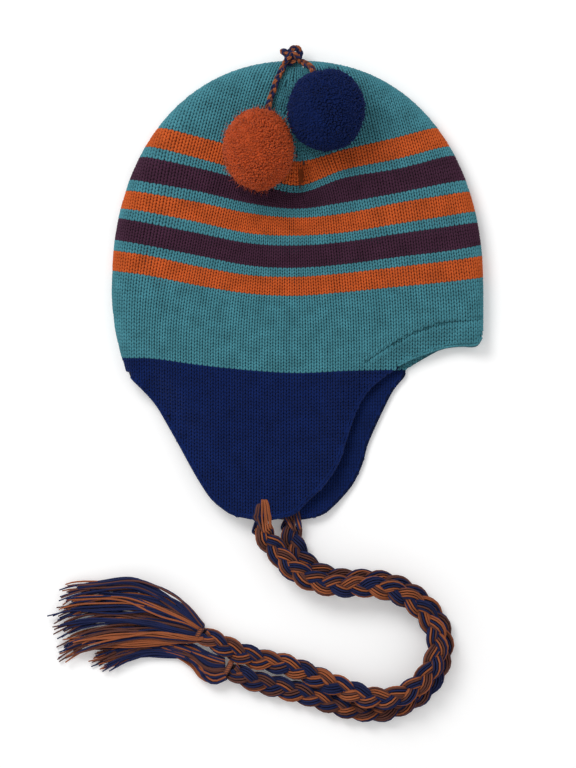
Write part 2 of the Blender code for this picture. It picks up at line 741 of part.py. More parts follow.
def build():
    """Make the whole hat."""
    for obj in list(bpy.data.objects):
        bpy.data.objects.remove(obj)
    hat = bpy.data.collections.new("chullo hat")
    cutters = bpy.data.collections.new("working shapes")
    for collection in (hat, cutters):
        bpy.context.scene.collection.children.link(collection)
    materials = {
        "teal": make_material("teal acrylic knit", (0.036, 0.140, 0.170)),
        "blue": make_material("blue acrylic knit", (0.005, 0.011, 0.055)),
        "orange": make_material("orange acrylic yarn", (0.280, 0.040, 0.012)),
        "braid": make_material("orange and blue yarn", (0.120, 0.030, 0.020)),
    }
    make_crown(materials["teal"], hat)
    make_ear_flaps(materials["blue"], hat)
    make_knot(materials["braid"], hat)

    pompoms = (
        ("orange", ORANGE_POMPOM_XY, ORANGE_POMPOM_SIZE, ORANGE_CORD_ROUTE),
        ("blue", BLUE_POMPOM_XY, BLUE_POMPOM_SIZE, BLUE_CORD_ROUTE),
    )
    for colour, place, size, route in pompoms:
        route = cord_to_pompom(route, place, size)
        make_pompom(f"{colour}_pompom", place, size, route[-1], materials[colour], hat)
        points = smooth_route(route, THIN_CORD_PITCH * POMPOM_CORD_RADIUS)
        make_tube(f"{colour}_pompom_cord", points, POMPOM_CORD_RADIUS, materials["braid"], hat)

    near_x = NEAR_BRAID_ROUTE[0][0]
    far_x = FAR_BRAID_ROUTE[0][0]
    near_top = near_height(near_x, TIP_Y)
    far_top = far_height(far_x, TIP_Y) + KNIT
    make_hitch("near_braid_hitch", near_x, near_top, materials["braid"], hat)
    make_hitch("far_braid_hitch", far_x, far_top, materials["braid"], hat)
    make_braid("near", NEAR_BRAID_ROUTE, NEAR_FAN, NEAR_LOCKS, materials, hat, cutters)
    make_braid("far", FAR_BRAID_ROUTE, FAR_FAN, FAR_LOCKS, materials, hat, cutters)


build()
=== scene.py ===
# %% [markdown]
# # A knitted chullo hat, stitch by stitch
# The hat lies on its side, its near half on its far half, and the camera looks straight down.
# Everything that shows is yarn: knitted stitches, pompom tufts, thin cords, two braids and two
# tassels. So this lesson models yarn and lets the light find most of its shadows, where a
# painted pattern on a smooth shell would look like print. Some shade is painted: the cloth
# behind the stitches is a darker tone of their yarn, and the plaits have near-black cores.
# The plain CAD model is the frame that each piece sits on. Its heights are worked out here
# with the same formulas, and the hem's seam, a small tuck and the far rim's dip are added to
# them.

import json
import math

import bmesh
import bpy
import numpy as np
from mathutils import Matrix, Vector

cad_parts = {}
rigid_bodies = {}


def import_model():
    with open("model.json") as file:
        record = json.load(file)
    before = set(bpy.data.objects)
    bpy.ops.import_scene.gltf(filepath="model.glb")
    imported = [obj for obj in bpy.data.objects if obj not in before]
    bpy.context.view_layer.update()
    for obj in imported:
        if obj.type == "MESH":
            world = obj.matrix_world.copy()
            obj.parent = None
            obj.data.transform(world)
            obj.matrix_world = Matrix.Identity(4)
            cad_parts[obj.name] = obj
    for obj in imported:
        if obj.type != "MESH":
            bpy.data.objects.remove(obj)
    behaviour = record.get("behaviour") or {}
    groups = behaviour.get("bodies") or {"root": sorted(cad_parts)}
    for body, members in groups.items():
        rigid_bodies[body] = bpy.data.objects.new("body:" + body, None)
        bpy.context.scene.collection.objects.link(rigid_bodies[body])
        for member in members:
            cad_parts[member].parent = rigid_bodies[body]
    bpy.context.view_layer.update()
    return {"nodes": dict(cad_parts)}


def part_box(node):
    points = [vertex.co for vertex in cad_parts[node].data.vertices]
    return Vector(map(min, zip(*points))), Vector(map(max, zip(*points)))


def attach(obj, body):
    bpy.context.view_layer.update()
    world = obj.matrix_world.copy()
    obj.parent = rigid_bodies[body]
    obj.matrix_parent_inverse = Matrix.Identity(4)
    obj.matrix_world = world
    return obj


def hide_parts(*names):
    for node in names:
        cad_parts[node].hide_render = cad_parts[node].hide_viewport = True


for leftover in list(bpy.data.objects):
    bpy.data.objects.remove(leftover)
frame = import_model()
print("CAD nodes:", len(frame["nodes"]))

# %% [markdown]
# ## Camera
# A long lens from high above keeps the hat as flat on the picture as it is in the photograph.
# The portrait frame is 476 mm tall, and its long side is the sensor's width.

# %% Put the camera above the hat
MM = 0.001
FRAME_CENTRE = (-5.9 * MM, -61.4 * MM)
FRAME_HEIGHT = 476.2 * MM
FRAME_LEVEL = 9 * MM             # that height is measured halfway up the knit
LENS = 200.0                     # this and the sensor in mm
SENSOR = 36.0

camera = bpy.data.objects.new("camera", bpy.data.cameras.new("camera"))
camera.data.lens = LENS
camera.data.sensor_width = SENSOR
camera_height = FRAME_HEIGHT / 2 / (SENSOR / 2 / LENS) + FRAME_LEVEL
camera.location = (*FRAME_CENTRE, camera_height)
bpy.context.scene.collection.objects.link(camera)
bpy.context.scene.camera = camera
print("Camera height:", round(camera_height, 3), "m")

# %% [markdown]
# ## Materials
# Acrylic yarn is matt and a little hairy, so light from the side catches a soft bright edge,
# which is the sheen. Its plies wind round each other: a wave texture that runs slantwise over
# a strand's own UV map gives their ridges as a bump. Noise on the object's coordinates varies
# the colour from place to place, as dye and shadow do.

# %% Make the yarns
STRAND_UNIT = 0.9 * MM           # one unit of a strand's UV map
PLY_WAVE = 0.62                  # the wave's scale that gives each unit one ply's ridge
PLY_DEPTH = 0.10 * MM
FIBRE_SIZE = 0.35 * MM           # the matt, hairy face of the yarn
FIBRE_DEPTH = 0.05 * MM
COLOUR_CHANGE = 0.16             # how much lighter or darker a patch is


def linear(code):
    """A colour written as sRGB hex, in the linear values that the shader takes."""
    values = [int(code[i:i + 2], 16) / 255 for i in (1, 3, 5)]
    return [v / 12.92 if v <= 0.04045 else ((v + 0.055) / 1.055) ** 2.4 for v in values] + [1.0]


def add_node(tree, kind, settings=(), links=()):
    """Add a node. A setting is a socket's value or a property, a link is socket and source."""
    node = tree.nodes.new(kind)
    for name, value in dict(settings).items():
        if name in node.inputs:
            node.inputs[name].default_value = value
        else:
            setattr(node, name, value)
    for name, source in dict(links).items():
        tree.links.new(source, node.inputs[name])
    return node


def yarn(name, code, patch_size=9 * MM, sheen=0.05):
    """A yarn of one colour, or of the colours kept on its mesh when code is None."""
    material = bpy.data.materials.new(name)
    material.use_nodes = True
    tree = material.node_tree
    shader = tree.nodes["Principled BSDF"]
    shader.inputs["Roughness"].default_value = 0.92
    shader.inputs["Specular IOR Level"].default_value = 0.1
    shader.inputs["Sheen Weight"].default_value = sheen
    shader.inputs["Sheen Roughness"].default_value = 0.45
    place = add_node(tree, "ShaderNodeTexCoord")
    patches = add_node(tree, "ShaderNodeTexNoise", {"Scale": 1 / patch_size, "Detail": 3.0},
                       {"Vector": place.outputs["Object"]})
    change = add_node(tree, "ShaderNodeMapRange",
                      {"To Min": 1 - COLOUR_CHANGE, "To Max": 1 + COLOUR_CHANGE,
                       "From Min": 0.3, "From Max": 0.7},
                      {"Value": patches.outputs["Fac"]})
    colour = add_node(tree, "ShaderNodeHueSaturation", {"Color": linear(code or "#808080")},
                      {"Value": change.outputs["Result"]})
    if code is None:
        own = add_node(tree, "ShaderNodeAttribute", {"attribute_name": "yarn"})
        tree.links.new(own.outputs["Color"], colour.inputs["Color"])
    tree.links.new(colour.outputs["Color"], shader.inputs["Base Color"])
    strand = add_node(tree, "ShaderNodeUVMap", {"uv_map": "strand"})
    plies = add_node(tree, "ShaderNodeTexWave",
                     {"bands_direction": "DIAGONAL", "Scale": PLY_WAVE, "Distortion": 1.5,
                      "Detail": 2.0, "Detail Scale": 2.0},
                     {"Vector": strand.outputs["UV"]})
    ridges = add_node(tree, "ShaderNodeBump", {"Strength": 0.7, "Distance": PLY_DEPTH},
                      {"Height": plies.outputs["Fac"]})
    fuzz = add_node(tree, "ShaderNodeTexNoise", {"Scale": 1 / FIBRE_SIZE, "Detail": 2.0},
                    {"Vector": place.outputs["Object"]})
    hairs = add_node(tree, "ShaderNodeBump", {"Strength": 0.35, "Distance": FIBRE_DEPTH},
                     {"Height": fuzz.outputs["Fac"], "Normal": ridges.outputs["Normal"]})
    tree.links.new(hairs.outputs["Normal"], shader.inputs["Normal"])
    return material


TEAL_YARN = yarn("teal acrylic yarn", "#45828E")
BLUE_YARN = yarn("royal blue acrylic yarn", "#0C2054")
ORANGE_YARN = yarn("orange acrylic yarn", "#BF5726")
PURPLE_YARN = yarn("purple acrylic yarn", "#412437")
CORD_YARN = yarn("orange and blue acrylic yarns", None, patch_size=14 * MM)
CORD_ORANGE = linear("#985636")
CORD_BLUE = linear("#1F264B")
CORD_BROWN = linear("#5E3A33")
# painted shade: the near-black of the packed inside of a strand or of the knot
CORD_SHADE_CORE = linear("#150E12")
print("Yarn materials:", [m.name for m in bpy.data.materials if "acrylic yarn" in m.name])

# %% [markdown]
# ## Strands
# A strand is a tube of a few sides along a line. Curves with a bevel would do, but hundreds of
# curve objects are slow, so one function writes many tubes into one mesh, with closed ends,
# a UV map that runs along each strand for the plies, and a colour for each.

# %% Write tubes along lines
UPRIGHT = 0.2                    # a line whose side is shorter than this stands upright
CAP_RISE = 0.6                   # how far a strand's end bulges, in its radius


def unit(vectors):
    """The same directions with length 1."""
    return vectors / np.linalg.norm(vectors, axis=1)[:, None]


def line_frame(line):
    """Side and top directions at each point of a line."""
    runs = np.gradient(line, axis=0)
    runs /= np.maximum(np.linalg.norm(runs, axis=1), 1e-9)[:, None]
    side = np.cross(runs, (0.0, 0.0, 1.0))
    upright = np.linalg.norm(side, axis=1) < UPRIGHT
    side[upright] = np.cross(runs[upright], (0.0, 1.0, 0.0))
    side = unit(side)
    for i in range(1, len(side)):
        if np.dot(side[i], side[i - 1]) < 0:
            side[i] = -side[i]
    return side, np.cross(side, runs)


def tube_mesh(name, strands, sides=6):
    """One mesh of many strands. Each is a line of points, a radius or radii, and a colour."""
    verts, faces, uvs, colours = [], [], [], []
    turns = np.arange(sides) * math.tau / sides
    ring = np.stack((np.cos(turns), np.sin(turns)), axis=1)
    for line, radius, colour in strands:
        line = np.asarray(line, float)
        radii = np.broadcast_to(np.asarray(radius, float), (len(line),))
        side, top = line_frame(line)
        base = len(verts)
        for point, r, s, t in zip(line, radii, side, top):
            verts.extend(point + r * (ring[:, :1] * s + ring[:, 1:] * t))
        steps = np.linalg.norm(np.diff(line, axis=0), axis=1)
        reach = np.concatenate(([0.0], np.cumsum(steps))) / STRAND_UNIT
        for i in range(len(line) - 1):
            for j in range(sides):
                after = (j + 1) % sides
                low, high = base + i * sides, base + (i + 1) * sides
                faces.append((low + j, low + after, high + after, high + j))
                u0, u1, v0, v1 = reach[i], reach[i + 1], 4 * j / sides, 4 * (j + 1) / sides
                uvs.extend(((u0, v0), (u0, v1), (u1, v1), (u1, v0)))
        for i, turned in ((0, True), (len(line) - 1, False)):
            push = line[i] - line[1] if i == 0 else line[i] - line[-2]
            push = push / max(np.linalg.norm(push), 1e-9) * radii[i] * CAP_RISE
            pole = len(verts)
            verts.append(line[i] + push)
            for j in range(sides):
                after = (j + 1) % sides
                corner, following = base + i * sides + j, base + i * sides + after
                faces.append((corner, pole, following) if turned else (corner, following, pole))
                uvs.extend(((reach[i], 0.0),) * 3)
        colours.extend([colour] * (len(verts) - base))
    mesh = bpy.data.meshes.new(name)
    mesh.from_pydata([tuple(v) for v in verts], [], faces)
    mesh.uv_layers.new(name="strand").data.foreach_set("uv", np.array(uvs).ravel())
    kept = mesh.color_attributes.new("yarn", "FLOAT_COLOR", "POINT")
    kept.data.foreach_set("color", np.array(colours, float).ravel())
    mesh.shade_smooth()
    return mesh


def add_piece(name, mesh, material, slot, *nodes):
    """Put a finished piece in the scene, on the frame's body, for the CAD nodes it replaces."""
    piece = bpy.data.objects.new(name, mesh)
    if not mesh.materials:
        mesh.materials.append(material)
    bpy.context.scene.collection.objects.link(piece)
    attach(piece, "root")
    if nodes:
        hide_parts(*nodes)
    mesh.calc_loop_triangles()
    triangles[name] = len(mesh.loop_triangles)
    print(f"{name}: {triangles[name]} triangles")
    return piece


def cord_piece(name, strands, node, sides=5):
    """A piece of orange and blue yarns."""
    return add_piece(name, tube_mesh(name, strands, sides), CORD_YARN, "braid_yarn", node)


triangles = {}
print("Strands can be written as tubes, and pieces added to the frame")

# %% [markdown]
# ## Braids
# Each cord is a flat plait of three strands, and each strand is a bundle of orange and blue
# yarns round two cores, which stop the light between them. The cores' near-black colour is
# painted shade, the shade of the strand's packed inside. A strand swings from side to side as a
# sine and passes over and under at twice that rate, which is the whole secret of a plait. The
# routes are those of the plain model.

# %% Plait the two braids
PLAIT_SWING = 3.7 * MM        # how far a strand swings to each side
PLAIT_LIFT = 2.3 * MM         # how far it passes over and under
PLAIT_LENGTH = 36 * MM        # one whole swing
STRAND_SIZE = (2.85 * MM, 1.85 * MM)
STRAND_SWELL = 0.14           # a strand is fuller where it lies on top
YARN_RADIUS = 0.60 * MM
YARNS = 12
YARN_TWIST = 0.25             # turns of a strand's yarns in one swing
YARN_WANDER = (-0.16, 0.06)   # how far in and out a yarn strays
WANDER_RATE = (0.7, 1.6)      # and how often in one swing
# the cores are painted shade, near-black where the yarns' inside would be in shadow
THICK_STRAND = 6              # a strand with more yarns than this has dark cores
CORE_SHIFT = 0.42             # of the two cores, in the strand's half width
CORE_SIZE = 0.74              # their radius, in the strand's half height
TIE_SQUEEZE = 0.15            # how much narrower a braid is at its tie
SQUEEZE_REACH = 8 * MM
BRAID_PITCH = 2.4 * MM        # between the points of a braid's line
CURVE_STEPS = 12              # between two points of a route

NEAR_BRAID_ROUTE = (
    # x, y and z in metres, from the flap's tip to the tie
    (-0.0222, -0.1512, 0.0122),
    (-0.0206, -0.1550, 0.0112),
    (-0.0178, -0.1591, 0.0102),
    (-0.0133, -0.1643, 0.0104),
    (-0.0071, -0.1723, 0.0132),
    (0.0016, -0.1792, 0.0164),
    (0.0140, -0.1847, 0.0168),
    (0.0295, -0.1866, 0.0168),
    (0.0450, -0.1866, 0.0168),
    (0.0574, -0.1891, 0.0168),
    (0.0685, -0.1940, 0.0168),
    (0.0778, -0.2021, 0.0168),
    (0.0840, -0.2114, 0.0168),
    (0.0865, -0.2213, 0.0168),
    (0.0846, -0.2325, 0.0168),
    (0.0791, -0.2424, 0.0167),
    (0.0704, -0.2505, 0.0163),
    (0.0592, -0.2554, 0.0156),
    (0.0450, -0.2554, 0.0142),
    (0.0307, -0.2508, 0.0118),
    (0.0152, -0.2446, 0.0090),
    (0.0016, -0.2390, 0.0068),
    (-0.0121, -0.2347, 0.0058),
    (-0.0264, -0.2316, 0.0056),
    (-0.0406, -0.2263, 0.0056),
    (-0.0518, -0.2207, 0.0056),
    (-0.0590, -0.2170, 0.0056),
)
FAR_BRAID_ROUTE = (
    # the same
    (-0.0040, -0.1502, 0.0057),
    (-0.0036, -0.1545, 0.0056),
    (-0.0018, -0.1618, 0.0056),
    (0.0018, -0.1695, 0.0056),
    (0.0090, -0.1763, 0.0056),
    (0.0202, -0.1814, 0.0056),
    (0.0338, -0.1829, 0.0056),
    (0.0487, -0.1835, 0.0056),
    (0.0617, -0.1866, 0.0056),
    (0.0729, -0.1934, 0.0056),
    (0.0822, -0.2021, 0.0056),
    (0.0884, -0.2120, 0.0056),
    (0.0902, -0.2219, 0.0056),
    (0.0890, -0.2331, 0.0056),
    (0.0840, -0.2443, 0.0056),
    (0.0753, -0.2542, 0.0056),
    (0.0636, -0.2610, 0.0056),
    (0.0499, -0.2643, 0.0056),
    (0.0357, -0.2634, 0.0056),
    (0.0214, -0.2594, 0.0056),
    (0.0065, -0.2545, 0.0056),
    (-0.0084, -0.2505, 0.0056),
    (-0.0233, -0.2470, 0.0056),
    (-0.0338, -0.2430, 0.0056),
    (-0.0410, -0.2392, 0.0056),
)
rng = np.random.default_rng(12)


def resample(points, pitch, closed=False):
    """Points a pitch apart on a smooth curve through the given ones."""
    points = np.asarray(points, float)
    if closed:
        ends = np.vstack((points[-1:], points, points[:2]))
    else:
        ends = np.vstack((2 * points[0] - points[1], points, 2 * points[-1] - points[-2]))
    fine = []
    for a, b, c, d in zip(ends, ends[1:], ends[2:], ends[3:]):
        for t in np.arange(CURVE_STEPS) / CURVE_STEPS:
            fine.append(0.5 * (2 * b + (c - a) * t + (2 * a - 5 * b + 4 * c - d) * t * t
                               + (3 * b - a - 3 * c + d) * t * t * t))
    fine.append(points[0] if closed else points[-1])
    fine = np.array(fine)
    reach = np.concatenate(([0.0], np.cumsum(np.linalg.norm(np.diff(fine, axis=0), axis=1))))
    marks = np.linspace(0.0, reach[-1], max(round(reach[-1] / pitch), 2) + 1)
    return np.stack([np.interp(marks, reach, fine[:, axis]) for axis in range(3)], axis=1), marks


def plait(route, marks, swing, lift, length, strand_size, yarns, radius, palettes, spread=None):
    """The yarns of a plait along a route, as strands for tube_mesh. Each strand has a palette."""
    side, top = line_frame(route)
    spread = np.ones(len(route)) if spread is None else spread
    strands = []
    for k, palette in enumerate(palettes):
        phase = math.tau * (marks / length + k / 3)
        across = swing * np.sin(phase) * spread
        height = lift * np.sin(2 * phase)
        middle = route + across[:, None] * side + height[:, None] * top
        strand_side, strand_top = line_frame(middle)
        swell = 1 + STRAND_SWELL * np.sin(2 * phase)
        # cores of painted shade darken the gaps between a thick strand's yarns
        if yarns > THICK_STRAND:
            for shift in (-CORE_SHIFT, CORE_SHIFT):
                core = middle + shift * strand_size[0] * swell[:, None] * strand_side
                strands.append((core, CORE_SIZE * strand_size[1] * swell, CORD_SHADE_CORE))
        start = rng.uniform(0, math.tau)
        for j in range(yarns):
            turn = start + math.tau * j / yarns + YARN_TWIST * phase
            stray = rng.uniform(*YARN_WANDER)
            wander = 1 + stray * np.sin(phase * rng.uniform(*WANDER_RATE) + 2 * j)
            out = (np.cos(turn) * strand_size[0] * spread * swell * wander)[:, None] * strand_side
            up = (np.sin(turn) * strand_size[1] * swell * wander)[:, None] * strand_top
            colour = palette[(j + int(rng.integers(2))) % len(palette)]
            strands.append((middle + out + up, radius, colour))
    return strands


PALETTES = {
    # the yarns of each of the three strands
    "near": ((CORD_ORANGE, CORD_BLUE, CORD_ORANGE, CORD_BROWN),
             (CORD_BLUE, CORD_BLUE, CORD_ORANGE, CORD_BLUE, CORD_BROWN),
             (CORD_ORANGE, CORD_BROWN, CORD_BLUE, CORD_ORANGE)),
    "far": ((CORD_BROWN, CORD_ORANGE, CORD_BLUE, CORD_ORANGE),
            (CORD_BLUE, CORD_BROWN, CORD_BLUE, CORD_BLUE, CORD_BROWN),
            (CORD_ORANGE, CORD_BROWN, CORD_BLUE, CORD_BROWN)),
}
braid_starts = {}             # where each yarn of a braid starts, for the loops at the flaps
for side_name, route in (("near", NEAR_BRAID_ROUTE), ("far", FAR_BRAID_ROUTE)):
    line, marks = resample(route, BRAID_PITCH)
    spread = 1 - TIE_SQUEEZE * np.exp((marks - marks[-1]) / SQUEEZE_REACH)
    strands = plait(line, marks, PLAIT_SWING, PLAIT_LIFT, PLAIT_LENGTH, STRAND_SIZE, YARNS,
                    YARN_RADIUS, PALETTES[side_name], spread)
    braid_starts[side_name] = [(strand[0][:3], strand[2]) for strand in strands
                               if strand[2] is not CORD_SHADE_CORE]
    braid = cord_piece(f"{side_name}_braid_yarns", strands, f"{side_name}_braid")
    print(side_name, "braid length:", round(marks[-1], 4), "m")

# %% [markdown]
# ## The shape of the knit
# Both halves of the hat are heights over the plan, worked out from the distance to the folds
# and to the open rim. These are the plain model's formulas, written for whole arrays of
# points, because thousands of stitches ask for their height. The sizes and tables come first.

# %% Write down the sizes
HALF_WIDTH = 115.0 * MM
DOME_RISE = 142.0 * MM
DOME_POWER = 2.2
WIDEST_Y = -3.1 * MM
SIDE_DROP = 43.4 * MM
FRONT_DROP = 27.9 * MM
BACK_TUCK = 10.0 * MM
BAND_DROP = 53.3 * MM
FLAP_DROP = 50.8 * MM
FLAP_LENGTH = 91.8 * MM
KNIT = 3.2 * MM
CROWN_PILE = 18.0 * MM
TIP_PILE = 14.4 * MM
FOLD_REACH = 14.0 * MM
RIM_GAP = 1.5 * MM
RIM_REACH = 22.0 * MM
HEM_STEP = 0.8 * MM              # the folded hem is double knit
HEM_EDGE = 0.8 * MM              # how soon it rises
HEM_START = 4 * MM               # how soon it begins, at its back end
CREASE_DEPTH = 1.2 * MM          # the hem's seam
CREASE_REACH = 1.0 * MM
TUCK_PLACE = (1.9 * MM, 66 * MM)
TUCK_REACH = (1.6 * MM, 7.5 * MM)
TUCK_DEPTH = 2.2 * MM            # a short upright tuck below the pompoms
FREE_REACH = 1.5                 # how far in from a fold the near half droops, in FOLD_REACH
TIP_LIFT_END = 1.4               # where the far tip's lift ends, in TIP_LIFT_REACH
TIP_LIFT = 3.2 * MM
TIP_LIFT_REACH = 30.0 * MM
POMPOM_PRESS = 2.5 * MM
FLAP_TOP_Y = WIDEST_Y - FLAP_DROP
TIP_Y = FLAP_TOP_Y - FLAP_LENGTH

LOWER_EDGE = np.array((
    # across, a share of HALF_WIDTH, and drop, a share of SIDE_DROP
    (-0.946, 1.000),
    (-0.600, 1.020),
    (-0.364, 1.140),
    (-0.040, 1.195),
    (0.391, 1.160),
    (0.504, 1.140),
    (0.606, 1.014),
    (0.720, 0.900),
    (0.801, 0.836),
    (0.881, 0.812),
    (0.951, 0.805),
    (0.984, 0.757),
    (1.000, 0.643),
))
FLAP_EDGES = np.array((
    # drop, a share of FLAP_LENGTH, and back, front and the far flap's shift, of HALF_WIDTH
    (0.027, -0.914, 0.478, 0.105),
    (0.122, -0.838, 0.391, 0.129),
    (0.223, -0.768, 0.337, 0.140),
    (0.358, -0.703, 0.294, 0.132),
    (0.493, -0.641, 0.259, 0.121),
    (0.628, -0.582, 0.221, 0.129),
    (0.764, -0.518, 0.148, 0.150),
    (0.865, -0.461, 0.067, 0.162),
    (0.932, -0.396, 0.013, 0.160),
    (0.973, -0.337, -0.035, 0.158),
    (1.000, -0.229, -0.137, 0.155),
))
CREASE = np.array((
    # x and y of the seam that holds the folded hem along the front edge, in mm
    (40.0, -50.2),
    (49.9, -43.2),
    (61.1, -36.3),
    (72.2, -30.8),
    (85.9, -25.8),
    (100.8, -23.3),
    (115.0, -21.5),
)) * MM
FAR_DIP = np.array((
    # across, and how far the far half's rim shows below the near one there, in mm
    (0.45, 0.0),
    (0.504, 0.4),
    (0.585, 4.4),
    (0.671, 2.3),
    (0.768, 0.0),
))
DENTS = (
    # across, rise, depth and reach, shares of HALF_WIDTH, DOME_RISE, POMPOM_PRESS and HALF_WIDTH
    (-0.208, 0.603, 1.0, 0.14),
    (0.154, 0.773, 1.0, 0.14),
    (0.014, 0.500, 0.8, 0.08),
)
BAND_STEPS = 24
DOME_STEPS = 120
RIM_STEPS = 60
RIM_START = 0.03                 # where a flap's free rim starts, a share of FLAP_LENGTH
print("The hat is", round(2 * HALF_WIDTH / MM), "mm across")

# %% [markdown]
# ## Heights over the plan
# The distance to the folds rounds the sides, and the distance to the rim lets the near half
# droop. Both lines are worked out first, as points in plan.

# %% Work out the folds, the rims and the heights
def smooth(value):
    """Ease from 0 to 1."""
    value = np.clip(value, 0.0, 1.0)
    return value * value * (3.0 - 2.0 * value)


def read_table(table, column, at):
    """A column of a table where its first column is at, on a smooth curve."""
    keys, values = table[:, 0], table[:, column]
    at = np.clip(at, keys[0], keys[-1])
    i = np.clip(np.searchsorted(keys, at) - 1, 0, len(keys) - 2)
    low, high = np.maximum(i - 1, 0), np.minimum(i + 2, len(keys) - 1)
    start_slope = (values[i + 1] - values[low]) / (keys[i + 1] - keys[low])
    end_slope = (values[high] - values[i]) / (keys[high] - keys[i])
    span = keys[i + 1] - keys[i]
    t = (at - keys[i]) / span
    rise = (values[i + 1] - values[i]) * t * t * (3 - 2 * t)
    return (values[i] + rise + t * (1 - t) ** 2 * start_slope * span
            + t * t * (t - 1) * end_slope * span)


def lower_edge_y(x, far=False):
    """The crown's lower edge in plan at x."""
    dip = np.interp(x / HALF_WIDTH, FAR_DIP[:, 0], FAR_DIP[:, 1]) * MM if far else 0.0
    return WIDEST_Y - SIDE_DROP * read_table(LOWER_EDGE, 1, x / HALF_WIDTH) - dip


def dome_point(angle):
    """A point of the dome's outline, from the front at 0 to the back at pi."""
    across = np.copysign(np.abs(np.cos(angle)) ** (2 / DOME_POWER), np.cos(angle))
    rise = np.maximum(np.sin(angle), 0.0) ** (2 / DOME_POWER)
    return np.stack((HALF_WIDTH * across, WIDEST_Y + DOME_RISE * rise), axis=-1)


def back_fold_x(y):
    """The back fold below the widest line."""
    drop = np.maximum(WIDEST_Y - y, 0.0) / BAND_DROP
    return -HALF_WIDTH + BACK_TUCK * drop * drop


def flap_edges(y, far):
    """Back and front edge of a flap at height y in plan."""
    drop = (FLAP_TOP_Y - y) / FLAP_LENGTH
    shift = read_table(FLAP_EDGES, 3, drop) if far else 0.0
    return ((read_table(FLAP_EDGES, 1, drop) + shift) * HALF_WIDTH,
            (read_table(FLAP_EDGES, 2, drop) + shift) * HALF_WIDTH)


band_y = WIDEST_Y - BAND_DROP * (1 - np.arange(BAND_STEPS) / BAND_STEPS)
FOLD = np.vstack((np.stack((back_fold_x(band_y), band_y), axis=1),
                  dome_point(np.linspace(math.pi, 0.0, DOME_STEPS + 1)),
                  ((HALF_WIDTH, WIDEST_Y - FRONT_DROP),)))
FRONT_X = 0.548 * HALF_WIDTH     # where the near flap's front edge leaves the crown
FAR_FRONT_X = 0.585 * HALF_WIDTH
rim_y = FLAP_TOP_Y - FLAP_LENGTH * np.linspace(RIM_START, 1.0, RIM_STEPS + 1)
rim_x = np.linspace(FRONT_X, HALF_WIDTH, RIM_STEPS + 1)
FRONT_RIM = np.stack((rim_x, lower_edge_y(rim_x)), axis=1)
RIM = np.vstack((np.stack((flap_edges(rim_y, False)[0], rim_y), axis=1),
                 np.stack((flap_edges(rim_y[::-1], False)[1], rim_y[::-1]), axis=1),
                 FRONT_RIM))
far_back, far_front = flap_edges(TIP_Y, True)
FAR_TIP = ((far_back + far_front) / 2, TIP_Y)


def nearest(line, x, y):
    """Distance to a line, the nearest point's segment and its share along that segment."""
    starts, runs = line[:-1], np.diff(line, axis=0)
    offsets = np.stack((x, y), axis=-1)[:, None, :] - starts
    shares = np.clip((offsets * runs).sum(axis=2) / (runs * runs).sum(axis=1), 0.0, 1.0)
    gaps = offsets - runs * shares[:, :, None]
    away = np.sqrt((gaps * gaps).sum(axis=2))
    segment = away.argmin(axis=1)
    rows = np.arange(len(segment))
    return away[rows, segment], segment, shares[rows, segment]


def half_pile(y):
    """Half the height of the two layers."""
    share = smooth((WIDEST_Y - SIDE_DROP - y) / (FLAP_LENGTH + FLAP_DROP - SIDE_DROP))
    return (CROWN_PILE + (TIP_PILE - CROWN_PILE) * share) / 2


def near_height(x, y):
    """Top of the near half."""
    to_fold = nearest(FOLD, x, y)[0]
    share = np.minimum(to_fold / FOLD_REACH, 1.0)
    top = half_pile(y) * (1 + np.sqrt(1 - (1 - share) ** 2))
    free = smooth(to_fold / (FREE_REACH * FOLD_REACH))
    tip = smooth((FLAP_TOP_Y - y) / FLAP_LENGTH)
    droop = 2 * half_pile(y) - 2 * KNIT - (RIM_GAP + (TIP_PILE - 2 * KNIT - RIM_GAP) * tip)
    top -= droop * free * (1 - smooth(nearest(RIM, x, y)[0] / RIM_REACH))
    below = read_table(CREASE, 1, x) - y
    hem = smooth((x - CREASE[0, 0]) / HEM_START)
    top += HEM_STEP * free * hem * smooth(below / HEM_EDGE)
    top -= CREASE_DEPTH * hem * np.exp(-(below / CREASE_REACH) ** 2)
    for across, rise, depth, reach in DENTS:
        away = np.hypot(x - across * HALF_WIDTH, y - WIDEST_Y - rise * DOME_RISE)
        top -= depth * POMPOM_PRESS * np.exp(-(away / (reach * HALF_WIDTH)) ** 2)
    tuck = np.exp(-(((x - TUCK_PLACE[0]) / TUCK_REACH[0]) ** 2
                    + ((y - TUCK_PLACE[1]) / TUCK_REACH[1]) ** 2))
    return top - TUCK_DEPTH * tuck


def far_height(x, y):
    """Underside of the far half."""
    share = np.minimum(nearest(FOLD, x, y)[0] / FOLD_REACH, 1.0)
    bottom = half_pile(y) * (1 - np.sqrt(1 - (1 - share) ** 2))
    away = np.hypot(x - FAR_TIP[0], y - FAR_TIP[1]) / TIP_LIFT_REACH
    return bottom + TIP_LIFT * smooth(TIP_LIFT_END - away)


test_x = np.array((0.0, 0.06, -0.03))
test_y = np.array((0.0, -0.02, -0.12))
print("Top of the near half at three points, mm:", (near_height(test_x, test_y) / MM).round(2))

# %% [markdown]
# ## Rows of stitches
# A knitted row is one line across the hat, and each column of stitches, a wale, crosses the
# rows squarely. On the lying hat the rows sag towards the middle, which this table gives for
# each change of colour. Wales are traced from row to row, and a wale ends where its
# neighbours leave it no room, as the decreases in the real crown do.

